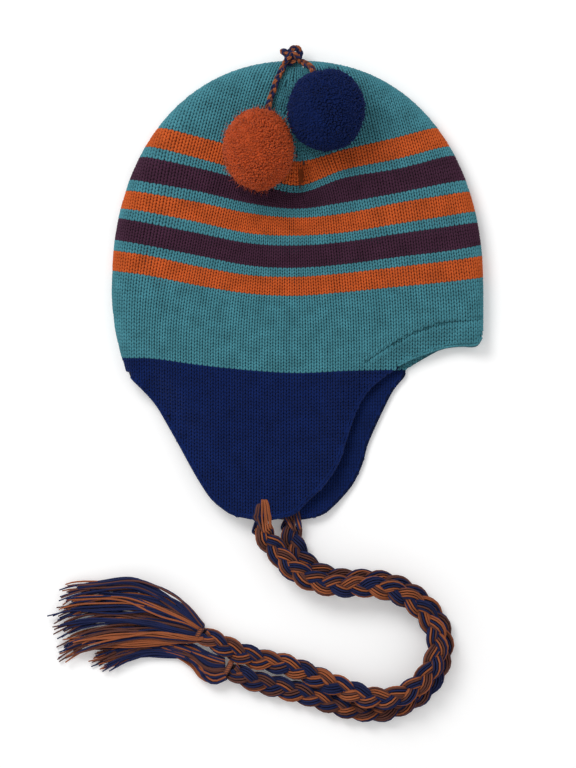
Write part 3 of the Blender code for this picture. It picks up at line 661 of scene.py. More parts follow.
# %% Trace the rows and the wales
ROW = 2.14 * MM
WALE = 3.3 * MM
ACROSS = np.array((-1.0, -0.8, -0.53, -0.25, 0.0, 0.25, 0.55, 0.82, 1.0)) * HALF_WIDTH
ROW_LINES = np.array((
    # row, middle in mm, then how much higher the row lies at each place across
    (-50, -162.0, 2.0, 2.0, 1.0, 0.3, 0.0, 0.3, 0.5, 0.5, 0.5),
    (0, -55.2, 8.7, 9.0, 5.0, 1.6, 0.0, 1.2, 1.9, 1.9, 1.9),
    (24, -7.4, 15.5, 12.4, 6.2, 1.2, 0.0, 2.2, 5.6, 8.7, 11.2),
    (30, 4.3, 16.4, 13.0, 6.2, 0.9, 0.0, 2.2, 6.2, 9.9, 13.0),
    (33, 9.9, 17.7, 13.6, 7.4, 1.2, 0.0, 2.2, 6.8, 10.5, 14.3),
    (40, 23.6, 18.0, 13.6, 7.4, 1.2, 0.0, 2.2, 7.4, 11.8, 14.9),
    (43, 29.8, 18.0, 14.3, 8.1, 1.2, 0.0, 1.9, 7.4, 12.4, 16.1),
    (49, 40.9, 18.6, 14.9, 9.3, 2.5, 0.0, 2.5, 9.3, 14.3, 18.0),
    (52, 46.5, 20.5, 16.1, 10.5, 3.1, 0.0, 3.7, 9.9, 16.1, 19.8),
    (59, 56.4, 26.0, 21.7, 14.9, 6.8, 0.0, 9.0, 14.9, 22.9, 27.3),
    (62, 60.9, 28.5, 24.3, 16.5, 7.5, 0.0, 9.6, 16.6, 25.0, 30.5),
    (68, 75.6, 27.5, 23.2, 15.0, 6.9, 0.0, 7.4, 15.2, 24.0, 29.5),
    (105, 154.8, 36.0, 30.0, 20.0, 9.5, 0.0, 9.5, 20.0, 30.0, 38.0),
))
STRIPES = (
    # first row, yarn
    (0, "teal"),
    (24, "orange"),
    (30, "teal"),
    (33, "purple"),
    (40, "teal"),
    (43, "orange"),
    (49, "teal"),
    (52, "purple"),
    (59, "teal"),
    (62, "orange"),
    (68, "teal"),
)
FIRST_ROW = -46
LAST_ROW = 106
START_ROW = 14                   # the wales are traced up and down from here
SQUARE_ROW = 24                  # wales run straight down below row 0, squarely from here up
MIDDLE_X = 1.6 * MM
SIDE_WALES = 44                  # wales on each side of the middle
SIDE_SLOPE = 0.15                # how much the rows rise beyond the folds
LEAST_GAP = 0.66                 # a wale closer to the last than this is left out, in WALE
MIDDLE_GAP = 0.62                # the same where the two sides meet
WIDEST_GAP = 1.3                 # a wider gap gets one more wale
profile = np.stack((ACROSS,) + tuple(ROW_LINES[:, 2:] * MM), axis=1)


def row_y(row, x):
    """Where a row lies in plan at x."""
    keys = ROW_LINES[:, 0]
    i = int(np.clip(np.searchsorted(keys, row) - 1, 0, len(keys) - 2))
    share = (row - keys[i]) / (keys[i + 1] - keys[i])
    middle = ROW_LINES[i, 1] + share * (ROW_LINES[i + 1, 1] - ROW_LINES[i, 1])
    low, high = read_table(profile, i + 1, x), read_table(profile, i + 2, x)
    beyond = np.maximum(np.abs(x) - HALF_WIDTH, 0.0)
    beyond_rise = SIDE_SLOPE * beyond * smooth(row / SQUARE_ROW)
    return middle * MM + low + share * (high - low) + beyond_rise


def row_slope(row, x):
    """How steeply a row runs at x."""
    return (row_y(row, x + WALE) - row_y(row, x - WALE)) / (2 * WALE)


def keep_room(x):
    """Leave out wales that are too close, inner ones first, and fill gaps that are too wide."""
    kept = []
    for wales in (x[x < MIDDLE_X], x[x >= MIDDLE_X][::-1]):
        last = None
        for place in wales:
            if last is None or abs(place - last) > LEAST_GAP * WALE:
                kept.append(place)
                last = place
    kept = np.sort(kept)
    close = np.diff(kept) < MIDDLE_GAP * WALE
    kept = np.delete(kept, np.nonzero(close)[0])
    wide = np.nonzero(np.diff(kept) > WIDEST_GAP * WALE)[0]
    return np.insert(kept, wide + 1, (kept[wide] + kept[wide + 1]) / 2)


def trace_wales():
    """For each row, where its stitches are in x."""
    start = MIDDLE_X + WALE * (np.arange(-SIDE_WALES, SIDE_WALES) + 0.5)
    rows = {START_ROW: start}
    for step, last in ((1, LAST_ROW), (-1, FIRST_ROW)):
        x = start
        for row in range(START_ROW, last, step):
            slope = row_slope(row, x)
            gap = row_y(row + step, x) - row_y(row, x)
            x = x - smooth(row / SQUARE_ROW) * slope * gap / (1 + slope * slope)
            if step > 0:
                x = keep_room(x)
            rows[row + step] = x
    return rows


WALES = trace_wales()
print("Rows:", len(WALES), "stitches in the plan:", sum(len(x) for x in WALES.values()))

# %% [markdown]
# ## From the plan to the folded knit
# Seen from above, the stitches near a fold turn away and look narrow. Each stitch is first
# laid out on the flat, where the fold is a little further out, and then rolled over the fold
# by its distance along the curve, so it keeps its real size all the way round.

# %% Roll flat places onto the hat
ROLL_RISE = 8.6 * MM             # how far the knit climbs round a fold
FOLD_RUN = 30 * MM               # the fold is made this much longer at both ends
SQUARE_TO_FOLD = 0.9             # a place seen less squarely than this is beyond its ends
turns = np.linspace(0.0, math.pi / 2, 200)
roll_out = FOLD_REACH * (1 - np.cos(turns))
roll_up = ROLL_RISE * np.sin(turns)
ROLL = np.concatenate(([0.0], np.cumsum(np.hypot(np.diff(roll_out), np.diff(roll_up)))))
EXTRA = ROLL[-1] - FOLD_REACH
first_run, last_run = FOLD[0] - FOLD[1], FOLD[-1] - FOLD[-2]
LONG_FOLD = np.vstack((FOLD[0] + FOLD_RUN * first_run / np.linalg.norm(first_run), FOLD,
                       FOLD[-1] + FOLD_RUN * last_run / np.linalg.norm(last_run)))
fold_runs = np.gradient(LONG_FOLD, axis=0)
fold_normals = unit(np.stack((fold_runs[:, 1], -fold_runs[:, 0]), axis=1))


def roll(x, y):
    """Plan place of a flat place, and its distance along the knit from the fold."""
    away, segment, share = nearest(LONG_FOLD, x, y)
    share = share[:, None]
    on_fold = LONG_FOLD[segment] * (1 - share) + LONG_FOLD[segment + 1] * share
    normal = fold_normals[segment] * (1 - share) + fold_normals[segment + 1] * share
    offset = np.stack((x, y), axis=1) - on_fold
    squarely = (offset * normal).sum(axis=1)
    reach = np.sign(squarely) * away + EXTRA
    depth = np.interp(reach, ROLL, roll_out)
    rolled = on_fold + normal * depth[:, None]
    beyond = (reach > ROLL[-1]) | (np.abs(squarely) < SQUARE_TO_FOLD * away)
    rolled[beyond] = np.stack((x, y), axis=1)[beyond]
    return rolled[:, 0], rolled[:, 1], reach


print("Room that a fold adds to the flat knit:", round(EXTRA / MM, 2), "mm")

# %% [markdown]
# ## Which stitches lie where
# Each half has an outer face and an inner one. A stitch needs a place, the way along its row,
# the way out of the knit and a size, all measured on the face that it lies on.

# %% Lay the stitches of some rows
FRONT_EASE = 5 * MM              # how soon a flap's front edge turns out to the crown's rim
PROBE = 0.45                     # how far off a stitch its ways are measured, in WALE
NEAR_START = -0.25               # where the stitches start inside the fold, in WALE
FAR_START = 0.2
WIDTH_RANGE = (0.6, 1.4)         # how narrow and wide a stitch may be, in WALE
HEIGHT_RANGE = (0.5, 1.4)        # and how low and tall, in ROW
NEAR_SINK = 0.55 * MM            # a stitch's middle lies under the surface
FAR_SINK = 0.85 * MM
LAYERS = {
    # height function, and whether the stitches face up
    "near": (near_height, 1.0),
    "far": (far_height, -1.0),
    "far_inside": (lambda x, y: far_height(x, y) + KNIT, 1.0),
    "near_inside": (lambda x, y: near_height(x, y) - KNIT, -1.0),
}


def on_knit(layer, x, y):
    """Points of a layer's surface for flat places."""
    rolled_x, rolled_y, _ = roll(x, y)
    return np.stack((rolled_x, rolled_y, LAYERS[layer][0](rolled_x, rolled_y)), axis=1)


def in_crown(x, y, row, far, margin):
    """Whether flat places are on the crown: above the colour change, and above the rim."""
    front = FAR_FRONT_X if far else FRONT_X
    edge = lower_edge_y(roll(x, y)[0], far)
    return np.where(x < front, row >= 0, y > edge + margin)


def flap_front(y, far):
    """A flap's front edge, which runs out to the crown's rim at its top."""
    front = flap_edges(y, far)[1]
    top_front = FAR_FRONT_X if far else FRONT_X
    return front + (top_front - front) * smooth((y - FLAP_TOP_Y) / FRONT_EASE + 0.5)


def in_flap(x, y, row, far, margin):
    """Whether flat places are on a flap or the band."""
    band = y > WIDEST_Y - BAND_DROP
    back = np.where(band, -np.inf, flap_edges(y, far)[0])
    front = flap_front(y, far)
    return ((row < 0) & (y > TIP_Y + 0.5 * margin)
            & (x > back + margin) & (x < front - margin))


def lay_stitches(layer, first_row, last_row, keep):
    """Where the stitches of some rows go: place, across, out and size, kept by a test."""
    places = {"at": [], "across": [], "out": [], "size": [], "row": []}
    start = (NEAR_START if layer == "near" else FAR_START) * WALE
    sink = FAR_SINK if layer == "far" else NEAR_SINK
    step = PROBE * WALE
    for row in range(first_row, last_row):
        x = WALES.get(row)
        if x is None or len(x) < 3:
            continue
        y = row_y(row + 0.5, x)
        slope = row_slope(row + 0.5, x)
        spacing = np.gradient(x) * np.sqrt(1 + slope * slope)
        height = (row_y(row + 1, x) - row_y(row, x)) / np.sqrt(1 + slope * slope)
        reach = roll(x, y)[2]
        good = keep(x, y, row) & (reach > start)
        if not good.any():
            continue
        x, y, slope, spacing, height = (v[good] for v in (x, y, slope, spacing, height))
        run = 1 / np.sqrt(1 + slope * slope)
        across = (on_knit(layer, x + step * run, y + step * run * slope)
                  - on_knit(layer, x - step * run, y - step * run * slope))
        up = (on_knit(layer, x - step * run * slope, y + step * run)
              - on_knit(layer, x + step * run * slope, y - step * run))
        out = unit(np.cross(across, up) * LAYERS[layer][1])
        spacing = spacing * np.linalg.norm(across, axis=1) / (2 * step)
        height = height * np.linalg.norm(up, axis=1) / (2 * step)
        places["at"].append(on_knit(layer, x, y) - sink * out)
        places["across"].append(unit(across) * LAYERS[layer][1])
        places["out"].append(out)
        places["size"].append(np.stack((np.clip(spacing / WALE, *WIDTH_RANGE),
                                        np.clip(height / ROW, *HEIGHT_RANGE),
                                        np.ones(len(x))), axis=1))
        places["row"].append(np.full(len(x), row))
    return {key: np.concatenate(value) for key, value in places.items()}


print("Faces of the knit:", list(LAYERS))

# %% [markdown]
# ## One stitch
# A stitch of stocking knit shows two legs that meet at the bottom and lean apart, so the
# columns read as rows of V. One small mesh of two spindles is enough, with five sides where
# it shows and four on the far half.

# %% Build the stitch
LEG = np.array((
    # across, up, out and radius of a leg, in mm
    (0.22, -1.15, -0.75, 0.00),
    (0.62, -0.10, 0.02, 0.80),
    (0.98, 1.30, 0.02, 0.80),
    (1.30, 2.45, -0.80, 0.00),
))


def stitch_mesh(name, sides):
    """Two closed spindles, mirror images of each other."""
    verts, faces, uvs = [], [], []
    for hand in (1, -1):
        line = LEG[:, :3] * (hand, 1, 1) * MM
        side, top = line_frame(line)
        base = len(verts)
        verts.append(line[0])
        for i in (1, 2):
            for j in range(sides):
                turn = math.tau * j / sides
                verts.append(line[i] + LEG[i, 3] * MM
                             * (math.cos(turn) * side[i] + math.sin(turn) * top[i]))
        verts.append(line[3])
        for j in range(sides):
            after = (j + 1) % sides
            low, high = base + 1, base + 1 + sides
            faces.extend(((base, low + after, low + j),
                          (low + j, low + after, high + after, high + j),
                          (high + j, high + after, base + 1 + 2 * sides)))
            u, v = 4 * j / sides, 4 * (j + 1) / sides
            uvs.extend(((0, 0), (1.2, v), (1.2, u), (1.2, u), (1.2, v), (2.8, v), (2.8, u),
                        (2.8, u), (2.8, v), (4, 0)))
    mesh = bpy.data.meshes.new(name)
    mesh.from_pydata([tuple(v) for v in verts], [], faces)
    mesh.uv_layers.new(name="strand").data.foreach_set("uv", np.array(uvs, float).ravel())
    mesh.shade_smooth()
    bm = bmesh.new()
    bm.from_mesh(mesh)
    bmesh.ops.recalc_face_normals(bm, faces=bm.faces)
    bm.to_mesh(mesh)
    bm.free()
    return mesh


STITCH = stitch_mesh("stitch", 5)
PLAIN_STITCH = stitch_mesh("plain_stitch", 4)
print("Faces in a stitch:", len(STITCH.polygons))

# %% [markdown]
# ## Many times
# Geometry Nodes puts a thing on every place with its own turn and size, and a fixed seed makes
# each a little different. Realize Instances makes them real, because an export drops instances.

# %% Build the node group
def scatter_group():
    """A node group that puts one thing on every point and makes it real."""
    group = bpy.data.node_groups.new("things on places", "GeometryNodeTree")
    face = group.interface
    for name, kind in (("Places", "Geometry"), ("Thing", "Object"), ("Finish", "Material"),
                       ("Unevenness", "Float"), ("Seed", "Int")):
        face.new_socket(name, in_out="INPUT", socket_type=f"NodeSocket{kind}")
    face.new_socket("Geometry", in_out="OUTPUT", socket_type="NodeSocketGeometry")
    given = add_node(group, "NodeGroupInput")
    out, across, size = (add_node(group, "GeometryNodeInputNamedAttribute",
                                  {"data_type": "FLOAT_VECTOR", "Name": name})
                         for name in ("out", "across", "size"))
    stand = add_node(group, "FunctionNodeAlignRotationToVector", {"axis": "Z"},
                     {"Vector": out.outputs["Attribute"]})
    turn = add_node(group, "FunctionNodeAlignRotationToVector", {"axis": "X", "pivot_axis": "Z"},
                    {"Rotation": stand.outputs["Rotation"],
                     "Vector": across.outputs["Attribute"]})
    change = add_node(group, "FunctionNodeRandomValue", {"data_type": "FLOAT"})
    for operation, limit in (("SUBTRACT", change.inputs[2]), ("ADD", change.inputs[3])):
        from_one = add_node(group, "ShaderNodeMath", {"operation": operation})
        from_one.inputs[0].default_value = 1.0
        group.links.new(given.outputs["Unevenness"], from_one.inputs[1])
        group.links.new(from_one.outputs[0], limit)
    group.links.new(given.outputs["Seed"], change.inputs["Seed"])
    scale = add_node(group, "ShaderNodeVectorMath", {"operation": "SCALE"},
                     {"Vector": size.outputs["Attribute"], "Scale": change.outputs[1]})
    thing = add_node(group, "GeometryNodeObjectInfo", {},
                     {"Object": given.outputs["Thing"]})
    put = add_node(group, "GeometryNodeInstanceOnPoints", {},
                   {"Points": given.outputs["Places"], "Instance": thing.outputs["Geometry"],
                    "Rotation": turn.outputs["Rotation"], "Scale": scale.outputs["Vector"]})
    real = add_node(group, "GeometryNodeRealizeInstances", {},
                    {"Geometry": put.outputs["Instances"]})
    finish = add_node(group, "GeometryNodeSetMaterial", {},
                      {"Geometry": real.outputs["Geometry"],
                       "Material": given.outputs["Finish"]})
    add_node(group, "NodeGroupOutput", {}, {"Geometry": finish.outputs["Geometry"]})
    return group


SCATTER = scatter_group()


def applied(holder, name):
    """The plain mesh that an object's modifiers make. The object itself is removed."""
    bpy.context.view_layer.update()
    graph = bpy.context.evaluated_depsgraph_get()
    made = bpy.data.meshes.new_from_object(holder.evaluated_get(graph))
    made.name = name
    bpy.data.objects.remove(holder)
    return made


def scatter(name, places, thing, material, slot, node, unevenness=0.05, seed=3):
    """A piece with the thing on every place."""
    mesh = bpy.data.meshes.new(name)
    mesh.from_pydata([tuple(p) for p in places["at"]], [], [])
    for key in ("across", "out", "size"):
        values = mesh.attributes.new(key, "FLOAT_VECTOR", "POINT")
        values.data.foreach_set("vector", np.asarray(places[key], float).ravel())
    holder = bpy.data.objects.new(name + "_places", mesh)
    model = bpy.data.objects.new("thing", thing)
    bpy.context.scene.collection.objects.link(holder)
    bpy.context.scene.collection.objects.link(model)
    modifier = holder.modifiers.new("scatter", "NODES")
    modifier.node_group = SCATTER
    given = {"Thing": model, "Finish": material, "Unevenness": unevenness, "Seed": seed}
    for item in SCATTER.interface.items_tree:
        if item.in_out == "INPUT" and item.name in given:
            modifier[item.identifier] = given[item.name]
    made = applied(holder, name)
    bpy.data.objects.remove(model)
    return add_piece(name, made, material, slot, node)


print("Inputs of the node group:",
      [item.name for item in SCATTER.interface.items_tree if item.in_out == "INPUT"])

# %% [markdown]
# ## Knit the crown and the flaps
# The stripes are a change of yarn, so each colour is a piece of its own, near and far.
# Where the near half leaves the far half's inside open to view, beside the flap and below the
# rim, that inside is knitted too.

# %% Knit both halves
YARNS_BY_NAME = {
    "teal": (TEAL_YARN, "teal_knit"),
    "orange": (ORANGE_YARN, "orange_yarn"),
    "purple": (PURPLE_YARN, "purple_knit"),
}
CROWN_START_ROW = -4             # the crown dips this far below row 0 at the front
FLAP_START_ROW = -45
CROWN_MARGIN = 0.24 * WALE       # what a stitch keeps clear of an edge
FLAP_MARGIN = 0.32 * WALE
STRIP_MARGIN = 0.42 * WALE
STRIP_WIDTH = 14 * MM            # of the far flap's inside that is knitted
RIM_SPAN = (0.5, 0.8)            # where the far rim shows, in HALF_WIDTH
RIM_STRIP = 3 * MM               # how far up its inside is knitted
RIM_END_ROW = 12


def yarn_of(row):
    """The yarn that a row of the crown is knitted in."""
    return [name for first, name in STRIPES if first <= row][-1]


for layer, thing in (("near", STITCH), ("far", PLAIN_STITCH)):
    def on_crown(x, y, row):
        return in_crown(x, y, row, layer == "far", CROWN_MARGIN)

    def on_flap(x, y, row):
        return in_flap(x, y, row, layer == "far", FLAP_MARGIN)

    crown = lay_stitches(layer, CROWN_START_ROW, LAST_ROW, on_crown)
    colours = np.array([yarn_of(max(row, 0)) for row in crown["row"]])
    for colour, (material, slot) in YARNS_BY_NAME.items():
        chosen = {key: value[colours == colour] for key, value in crown.items()}
        scatter(f"{layer}_{colour}_knit", chosen, thing, material, slot, "crown")
    flap = lay_stitches(layer, FLAP_START_ROW, 0, on_flap)
    scatter(f"{layer}_flap_knit", flap, thing, BLUE_YARN, "blue_knit", "ear_flaps")


def on_far_strip(x, y, row):
    """The part of the far flap's inside that the near flap leaves open to view."""
    front = flap_edges(y, False)[1]
    return in_flap(x, y, row, True, STRIP_MARGIN) & (x > front - STRIP_WIDTH)


def on_far_rim(x, y, row):
    """The part of the far rim's inside that shows below the near one."""
    return (in_crown(x, y, row, True, CROWN_MARGIN) & (x > RIM_SPAN[0] * HALF_WIDTH)
            & (x < RIM_SPAN[1] * HALF_WIDTH) & (y < lower_edge_y(x) + RIM_STRIP))


for name, first, last, test, material, slot, node in (
        ("flap", FLAP_START_ROW, 0, on_far_strip, BLUE_YARN, "blue_knit", "ear_flaps"),
        ("rim", CROWN_START_ROW, RIM_END_ROW, on_far_rim, TEAL_YARN, "teal_knit", "crown")):
    strip = lay_stitches("far_inside", first, last, test)
    scatter(f"far_{name}_inside_knit", strip, STITCH, material, slot, node)

# %% [markdown]
# ## The cloth behind the stitches
# Knit is thick, so behind the stitches lies a cloth that stops the light between their legs
# and makes the inside of the hat. It is one wall for the crown and one for the flaps, both
# open at the rim: an outside surface a little under the stitches, thickened inwards with
# Solidify, which closes the wall's edge. Its colours are painted shade: the crown's follow the
# stripes in darker tones, and the flaps' is a darker blue than their yarn, as the gaps between
# the legs are in shadow.

# %% Make the cloth
CLOTH_SINK = 1.15 * MM
CLOTH_MARGIN = 0.2 * MM          # what the cloth keeps clear of the inner face
DOME_RINGS = 40                  # from the top of the crown to its widest line
OPEN_RINGS = 6                   # of these, left out at the top
TOP_INSET = 1 * MM               # the first ring is this much narrower, under the stitches
SIDE_RINGS = 18                  # from the widest line to the lower edge
CROWN_COLUMNS = 48
FLAP_COLUMNS = 30
BAND_ROWS = 8                    # of a flap's cloth, above the rows that are straight
FREE_ROW = 0.122                 # share of FLAP_LENGTH below which a flap's rows are straight
FREE_ROWS = np.concatenate((np.linspace(FREE_ROW, 0.93, 22), (0.955, 0.975, 0.99, 1.0)))
# darker tones of the stripes' yarns, painted shade for the gaps between the stitches' legs
CLOTH_PAINTED_SHADE = {"teal": "#2A5660", "orange": "#7A3818", "purple": "#281622"}


def row_at(x, y):
    """Which row lies at a place in plan."""
    rows = np.arange(FIRST_ROW, LAST_ROW + 1, 2)
    lines = np.stack([row_y(row, x) for row in rows], axis=1)
    return np.array([np.interp(place, line, rows) for place, line in zip(y, lines)])


def columns(front, back, count):
    """Places across a row, closer at the folds."""
    shares = (1 - np.cos(np.linspace(0, math.pi, count + 1))) / 2
    return front + (back - front) * shares


def crown_plan(far, count):
    """Rows of plan points from the top of the crown to its lower edge."""
    rows = []
    for angle in np.linspace(math.pi / 2, 0, DOME_RINGS)[OPEN_RINGS:]:
        x, y = dome_point(angle)
        x -= 0.0 if rows else TOP_INSET
        across = columns(x, -x, count)
        rows.append(np.stack((across, np.full(count + 1, y)), axis=1))
    for share in np.linspace(0, 1, SIDE_RINGS + 1)[1:]:
        across = columns(HALF_WIDTH, back_fold_x(WIDEST_Y - share * SIDE_DROP), count)
        drop = share * (lower_edge_y(across, far) - WIDEST_Y)
        rows.append(np.stack((across, WIDEST_Y + drop), axis=1))
    return rows


def flap_plan(far, count):
    """Rows of plan points from the colour change to a flap's tip, back edge to front edge."""
    top_front = FAR_FRONT_X if far else FRONT_X
    top_x = np.linspace(back_fold_x(WIDEST_Y - SIDE_DROP), top_front, count + 1)
    top_y = lower_edge_y(top_x, far)
    steps = np.linspace(0, 1, count + 1)
    rows = []
    for share in np.linspace(0, 1, BAND_ROWS + 1)[:-1]:
        y = top_y + share * (FLAP_TOP_Y - FREE_ROW * FLAP_LENGTH - top_y)
        back = back_fold_x(y[0]) if y[0] > WIDEST_Y - BAND_DROP else flap_edges(y[0], far)[0]
        front = flap_front(y[-1], far)
        rows.append(np.stack((back + (front - back) * steps, y), axis=1))
    for drop in FREE_ROWS:
        y = FLAP_TOP_Y - drop * FLAP_LENGTH
        back, front = flap_edges(y, far)
        rows.append(np.stack((back + (front - back) * steps, np.full(count + 1, y)), axis=1))
    return rows


def cloth(name, bm, material, slot, node, coloured):
    """Sink an outside surface under the stitches, thicken it and keep its colours."""
    bmesh.ops.recalc_face_normals(bm, faces=bm.faces)
    top_face = max(bm.faces, key=lambda face: face.calc_center_median().z)
    if top_face.normal.z < 0:
        bmesh.ops.reverse_faces(bm, faces=bm.faces)
    bm.normal_update()
    sunk = [vert.co - vert.normal * CLOTH_SINK for vert in bm.verts]
    for vert, place in zip(bm.verts, sunk):
        vert.co = place
    mesh = bpy.data.meshes.new(name)
    bm.to_mesh(mesh)
    bm.free()
    mesh.shade_smooth()
    # the crown's cloth takes the stripes' painted shade, row by row
    if coloured:
        places = np.array([vert.co[:2] for vert in mesh.vertices])
        rows = row_at(places[:, 0], places[:, 1])
        kept = mesh.color_attributes.new("yarn", "FLOAT_COLOR", "POINT")
        values = [linear(CLOTH_PAINTED_SHADE[yarn_of(max(row, 0))]) for row in rows]
        kept.data.foreach_set("color", np.array(values).ravel())
    holder = bpy.data.objects.new(name, mesh)
    bpy.context.scene.collection.objects.link(holder)
    wall = holder.modifiers.new("thickness", "SOLIDIFY")
    wall.thickness = KNIT - CLOTH_SINK - CLOTH_MARGIN
    wall.offset = -1.0
    wall.use_even_offset = False
    return add_piece(name, applied(holder, name), material, slot, node)


def crown_surface():
    """Outside of the crown, near and far joined at the fold."""
    bm = bmesh.new()
    rings = []
    for row, far_row in zip(crown_plan(False, CROWN_COLUMNS), crown_plan(True, CROWN_COLUMNS)):
        near = np.column_stack((row, near_height(row[:, 0], row[:, 1])))
        inner = far_row[1:-1][::-1]
        far = np.column_stack((inner, far_height(inner[:, 0], inner[:, 1])))
        rings.append([bm.verts.new(point) for point in np.vstack((near, far))])
    count = len(rings[0])
    first, half = rings[0], count // 2
    bm.faces.new((first[0], first[1], first[-1]))
    for i in range(1, half - 1):
        bm.faces.new((first[i], first[i + 1], first[-i - 1], first[-i]))
    bm.faces.new((first[half - 1], first[half], first[half + 1]))
    for upper, lower in zip(rings, rings[1:]):
        for i in range(count):
            after = (i + 1) % count
            bm.faces.new((upper[i], lower[i], lower[after], upper[after]))
    return bm


def flap_surface():
    """Outside of both flaps and the band, joined at the back fold."""
    bm = bmesh.new()
    near, far = [], []
    for row in flap_plan(False, FLAP_COLUMNS):
        heights = near_height(row[:, 0], row[:, 1])
        near.append([bm.verts.new((*place, z)) for place, z in zip(row, heights)])
    for i, row in enumerate(flap_plan(True, FLAP_COLUMNS)):
        heights = far_height(row[:, 0], row[:, 1])
        made = [bm.verts.new((*place, z)) for place, z in zip(row[1:], heights[1:])]
        on_band = row[0, 1] > WIDEST_Y - BAND_DROP
        first = near[i][0] if on_band else bm.verts.new((*row[0], heights[0]))
        far.append([first] + made)
    for grid, turned in ((near, False), (far, True)):
        for upper, lower in zip(grid, grid[1:]):
            for i in range(len(upper) - 1):
                corners = [upper[i], lower[i], lower[i + 1], upper[i + 1]]
                bm.faces.new(corners[::-1] if turned else corners)
    return bm


# both cloths are darker than their yarns: painted shade between the stitches
STRIPED_SHADE_CLOTH = yarn("striped cloth of painted shade behind the stitches", None)
BLUE_SHADE_CLOTH = yarn("blue cloth of painted shade behind the stitches", "#081538")
cloth("crown_cloth", crown_surface(), STRIPED_SHADE_CLOTH, "teal_knit", "crown", True)
cloth("flap_cloth", flap_surface(), BLUE_SHADE_CLOTH, "blue_knit", "ear_flaps", False)

# %% [markdown]
# ## The edges
# Round the open rim the knit turns over. Two rows of stitches lie along each edge, one on its
# side and one on its upper side, and hide the cloth's cut.

# %% Lay the edge stitches
EDGE_SIZE = (0.8, 1.0, 1.0)
EDGE_SINK = 0.9 * MM             # of the row on the side
UPPER_PLACE = (1.9 * MM, 0.7 * MM)     # of the other row, inwards and up
UPPER_WAY = (0.5, 0.87)          # the way that it faces, outwards and up
EDGE_TOP = 0.5 * MM              # how far above the flap's top its edge stitches go
FRONT_END = 0.99                 # where those of the front rim end, in HALF_WIDTH


def chain_along(line, layer, pitch):
    """Places of edge stitches round an open rim, and of more stitches along its upper side."""
    flat = np.column_stack((line, np.zeros(len(line))))
    points, _ = resample(flat, pitch)
    heights = LAYERS[layer][0](points[:, 0], points[:, 1])
    points[:, 2] = heights + (-KNIT / 2 if layer == "near" else KNIT / 2)
    along = unit(np.gradient(points, axis=0))
    aside = unit(np.cross(along, (0.0, 0.0, 1.0)))
    above = np.cross(aside, along)
    outs = (aside, UPPER_WAY[0] * aside + UPPER_WAY[1] * above)
    places = (points - EDGE_SINK * aside,
              points - UPPER_PLACE[0] * aside + UPPER_PLACE[1] * above)
    return {"at": np.vstack(places), "out": np.vstack(outs),
            "across": np.vstack([np.cross(along, out) for out in outs]),
            "size": np.ones((2 * len(points), 3)) * EDGE_SIZE}


def rim_of_flap(far):
    """A flap's open edge in plan, from the back fold round the tip to the crown."""
    rows = flap_plan(far, 2)
    back = [row[0] for row in rows if row[0, 1] <= WIDEST_Y - BAND_DROP]
    front = [row[-1] for row in rows if row[-1, 1] < FLAP_TOP_Y + EDGE_TOP]
    return np.vstack((np.array(back), np.array(front)[::-1]))


for layer, start in (("near", FRONT_X), ("far", FAR_FRONT_X)):
    edge_x = np.linspace(start, FRONT_END * HALF_WIDTH, 30)
    front_rim = np.stack((edge_x, lower_edge_y(edge_x, layer == "far")), axis=1)
    for name, line, material, slot, node in (
            ("flap", rim_of_flap(layer == "far"), BLUE_YARN, "blue_knit", "ear_flaps"),
            ("front", front_rim, TEAL_YARN, "teal_knit", "crown")):
        stitches = chain_along(line, layer, ROW)
        scatter(f"{layer}_{name}_edge", stitches, STITCH, material, slot, node)

# %% [markdown]
# ## Pompoms
# A pompom is a ball of cut yarn ends that all point outwards from a tight middle. Hair would
# show every fibre and slow the render, and a bumpy ball would look like felt. Some thousands
# of short blunt tufts on a packed ball keep the cut ends, the dark specks between them and a
# fuzzy outline. Fine hairs stand out everywhere, and a few longer ones on the orange pompom.

# %% Make the pompoms
ORANGE_POMPOM_YARN = yarn("orange pompom yarn", "#AE4820", patch_size=5 * MM, sheen=0.12)
BLUE_POMPOM_YARN = yarn("blue pompom yarn", "#0A1C4C", patch_size=5 * MM)
TUFTS = 5200
HAIRS = 800
CORE_DEPTH = 1.7 * MM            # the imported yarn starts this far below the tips
LONG_HAIRS = 14                  # on the orange pompom, at the side towards the blue one
LONG_HAIR_WAY = (0.62, 0.62, 0.48)
LONG_HAIR_SPREAD = 0.86          # the cosine of how far from that way they stand
WAY_SCATTER = 0.018              # how unevenly the tufts are placed
LEAN_SCATTER = 0.16              # how unevenly they lean
TIP_REACH = 0.985                # where their tips end, in the pompom's radius
TIP_SCATTER = 0.014
LUMP = 0.012                     # how lumpy the ball is
TUFT_SIZES = (0.8, 1.2)
POMPOM_GAP = 0.6 * MM            # air under a pompom, as in the plain model
SHORT_HAIR = {"lengths": (1.0, 2.8), "spread": 0.7, "sag": 0.3, "radii": (0.16, 0.13, 0.07)}
LONG_HAIR = {"lengths": (3.0, 6.5), "spread": 1.4, "sag": 0.2, "radii": (0.2, 0.16, 0.1)}
POMPOMS = (
    # name, place, size in mm, yarn, slot, seed
    ("orange", (-0.0239, 0.0825), (44.0, 51.0, 42.0), ORANGE_POMPOM_YARN, "orange_yarn", 5),
    ("blue", (0.0177, 0.1066), (48.0, 51.0, 44.0), BLUE_POMPOM_YARN, "blue_yarn", 8),
)
TUFT = (
    # height and radius along a tuft, in mm, its tip at 0
    (-7.5, 0.00),
    (-1.5, 0.84),
    (-0.35, 0.60),
    (0.0, 0.00),
)


def tuft_mesh(sides=4):
    """A short blunt tuft that points up."""
    line = [(0.0, 0.0, height * MM) for height, _ in TUFT[1:3]]
    radii = [radius * MM for _, radius in TUFT[1:3]]
    mesh = tube_mesh("tuft", [(line, radii, CORD_ORANGE)], sides)
    for vert in mesh.vertices:
        if vert.co.z < TUFT[1][0] * MM - 1e-6:
            vert.co.z = TUFT[0][0] * MM
    return mesh


def pompom_centre(place, size):
    """Centre of a pompom that rests in its dent."""
    x, y = np.array(place[:1]), np.array(place[1:])
    return np.array((*place, near_height(x, y)[0] + POMPOM_GAP + size[2] * MM / 2))


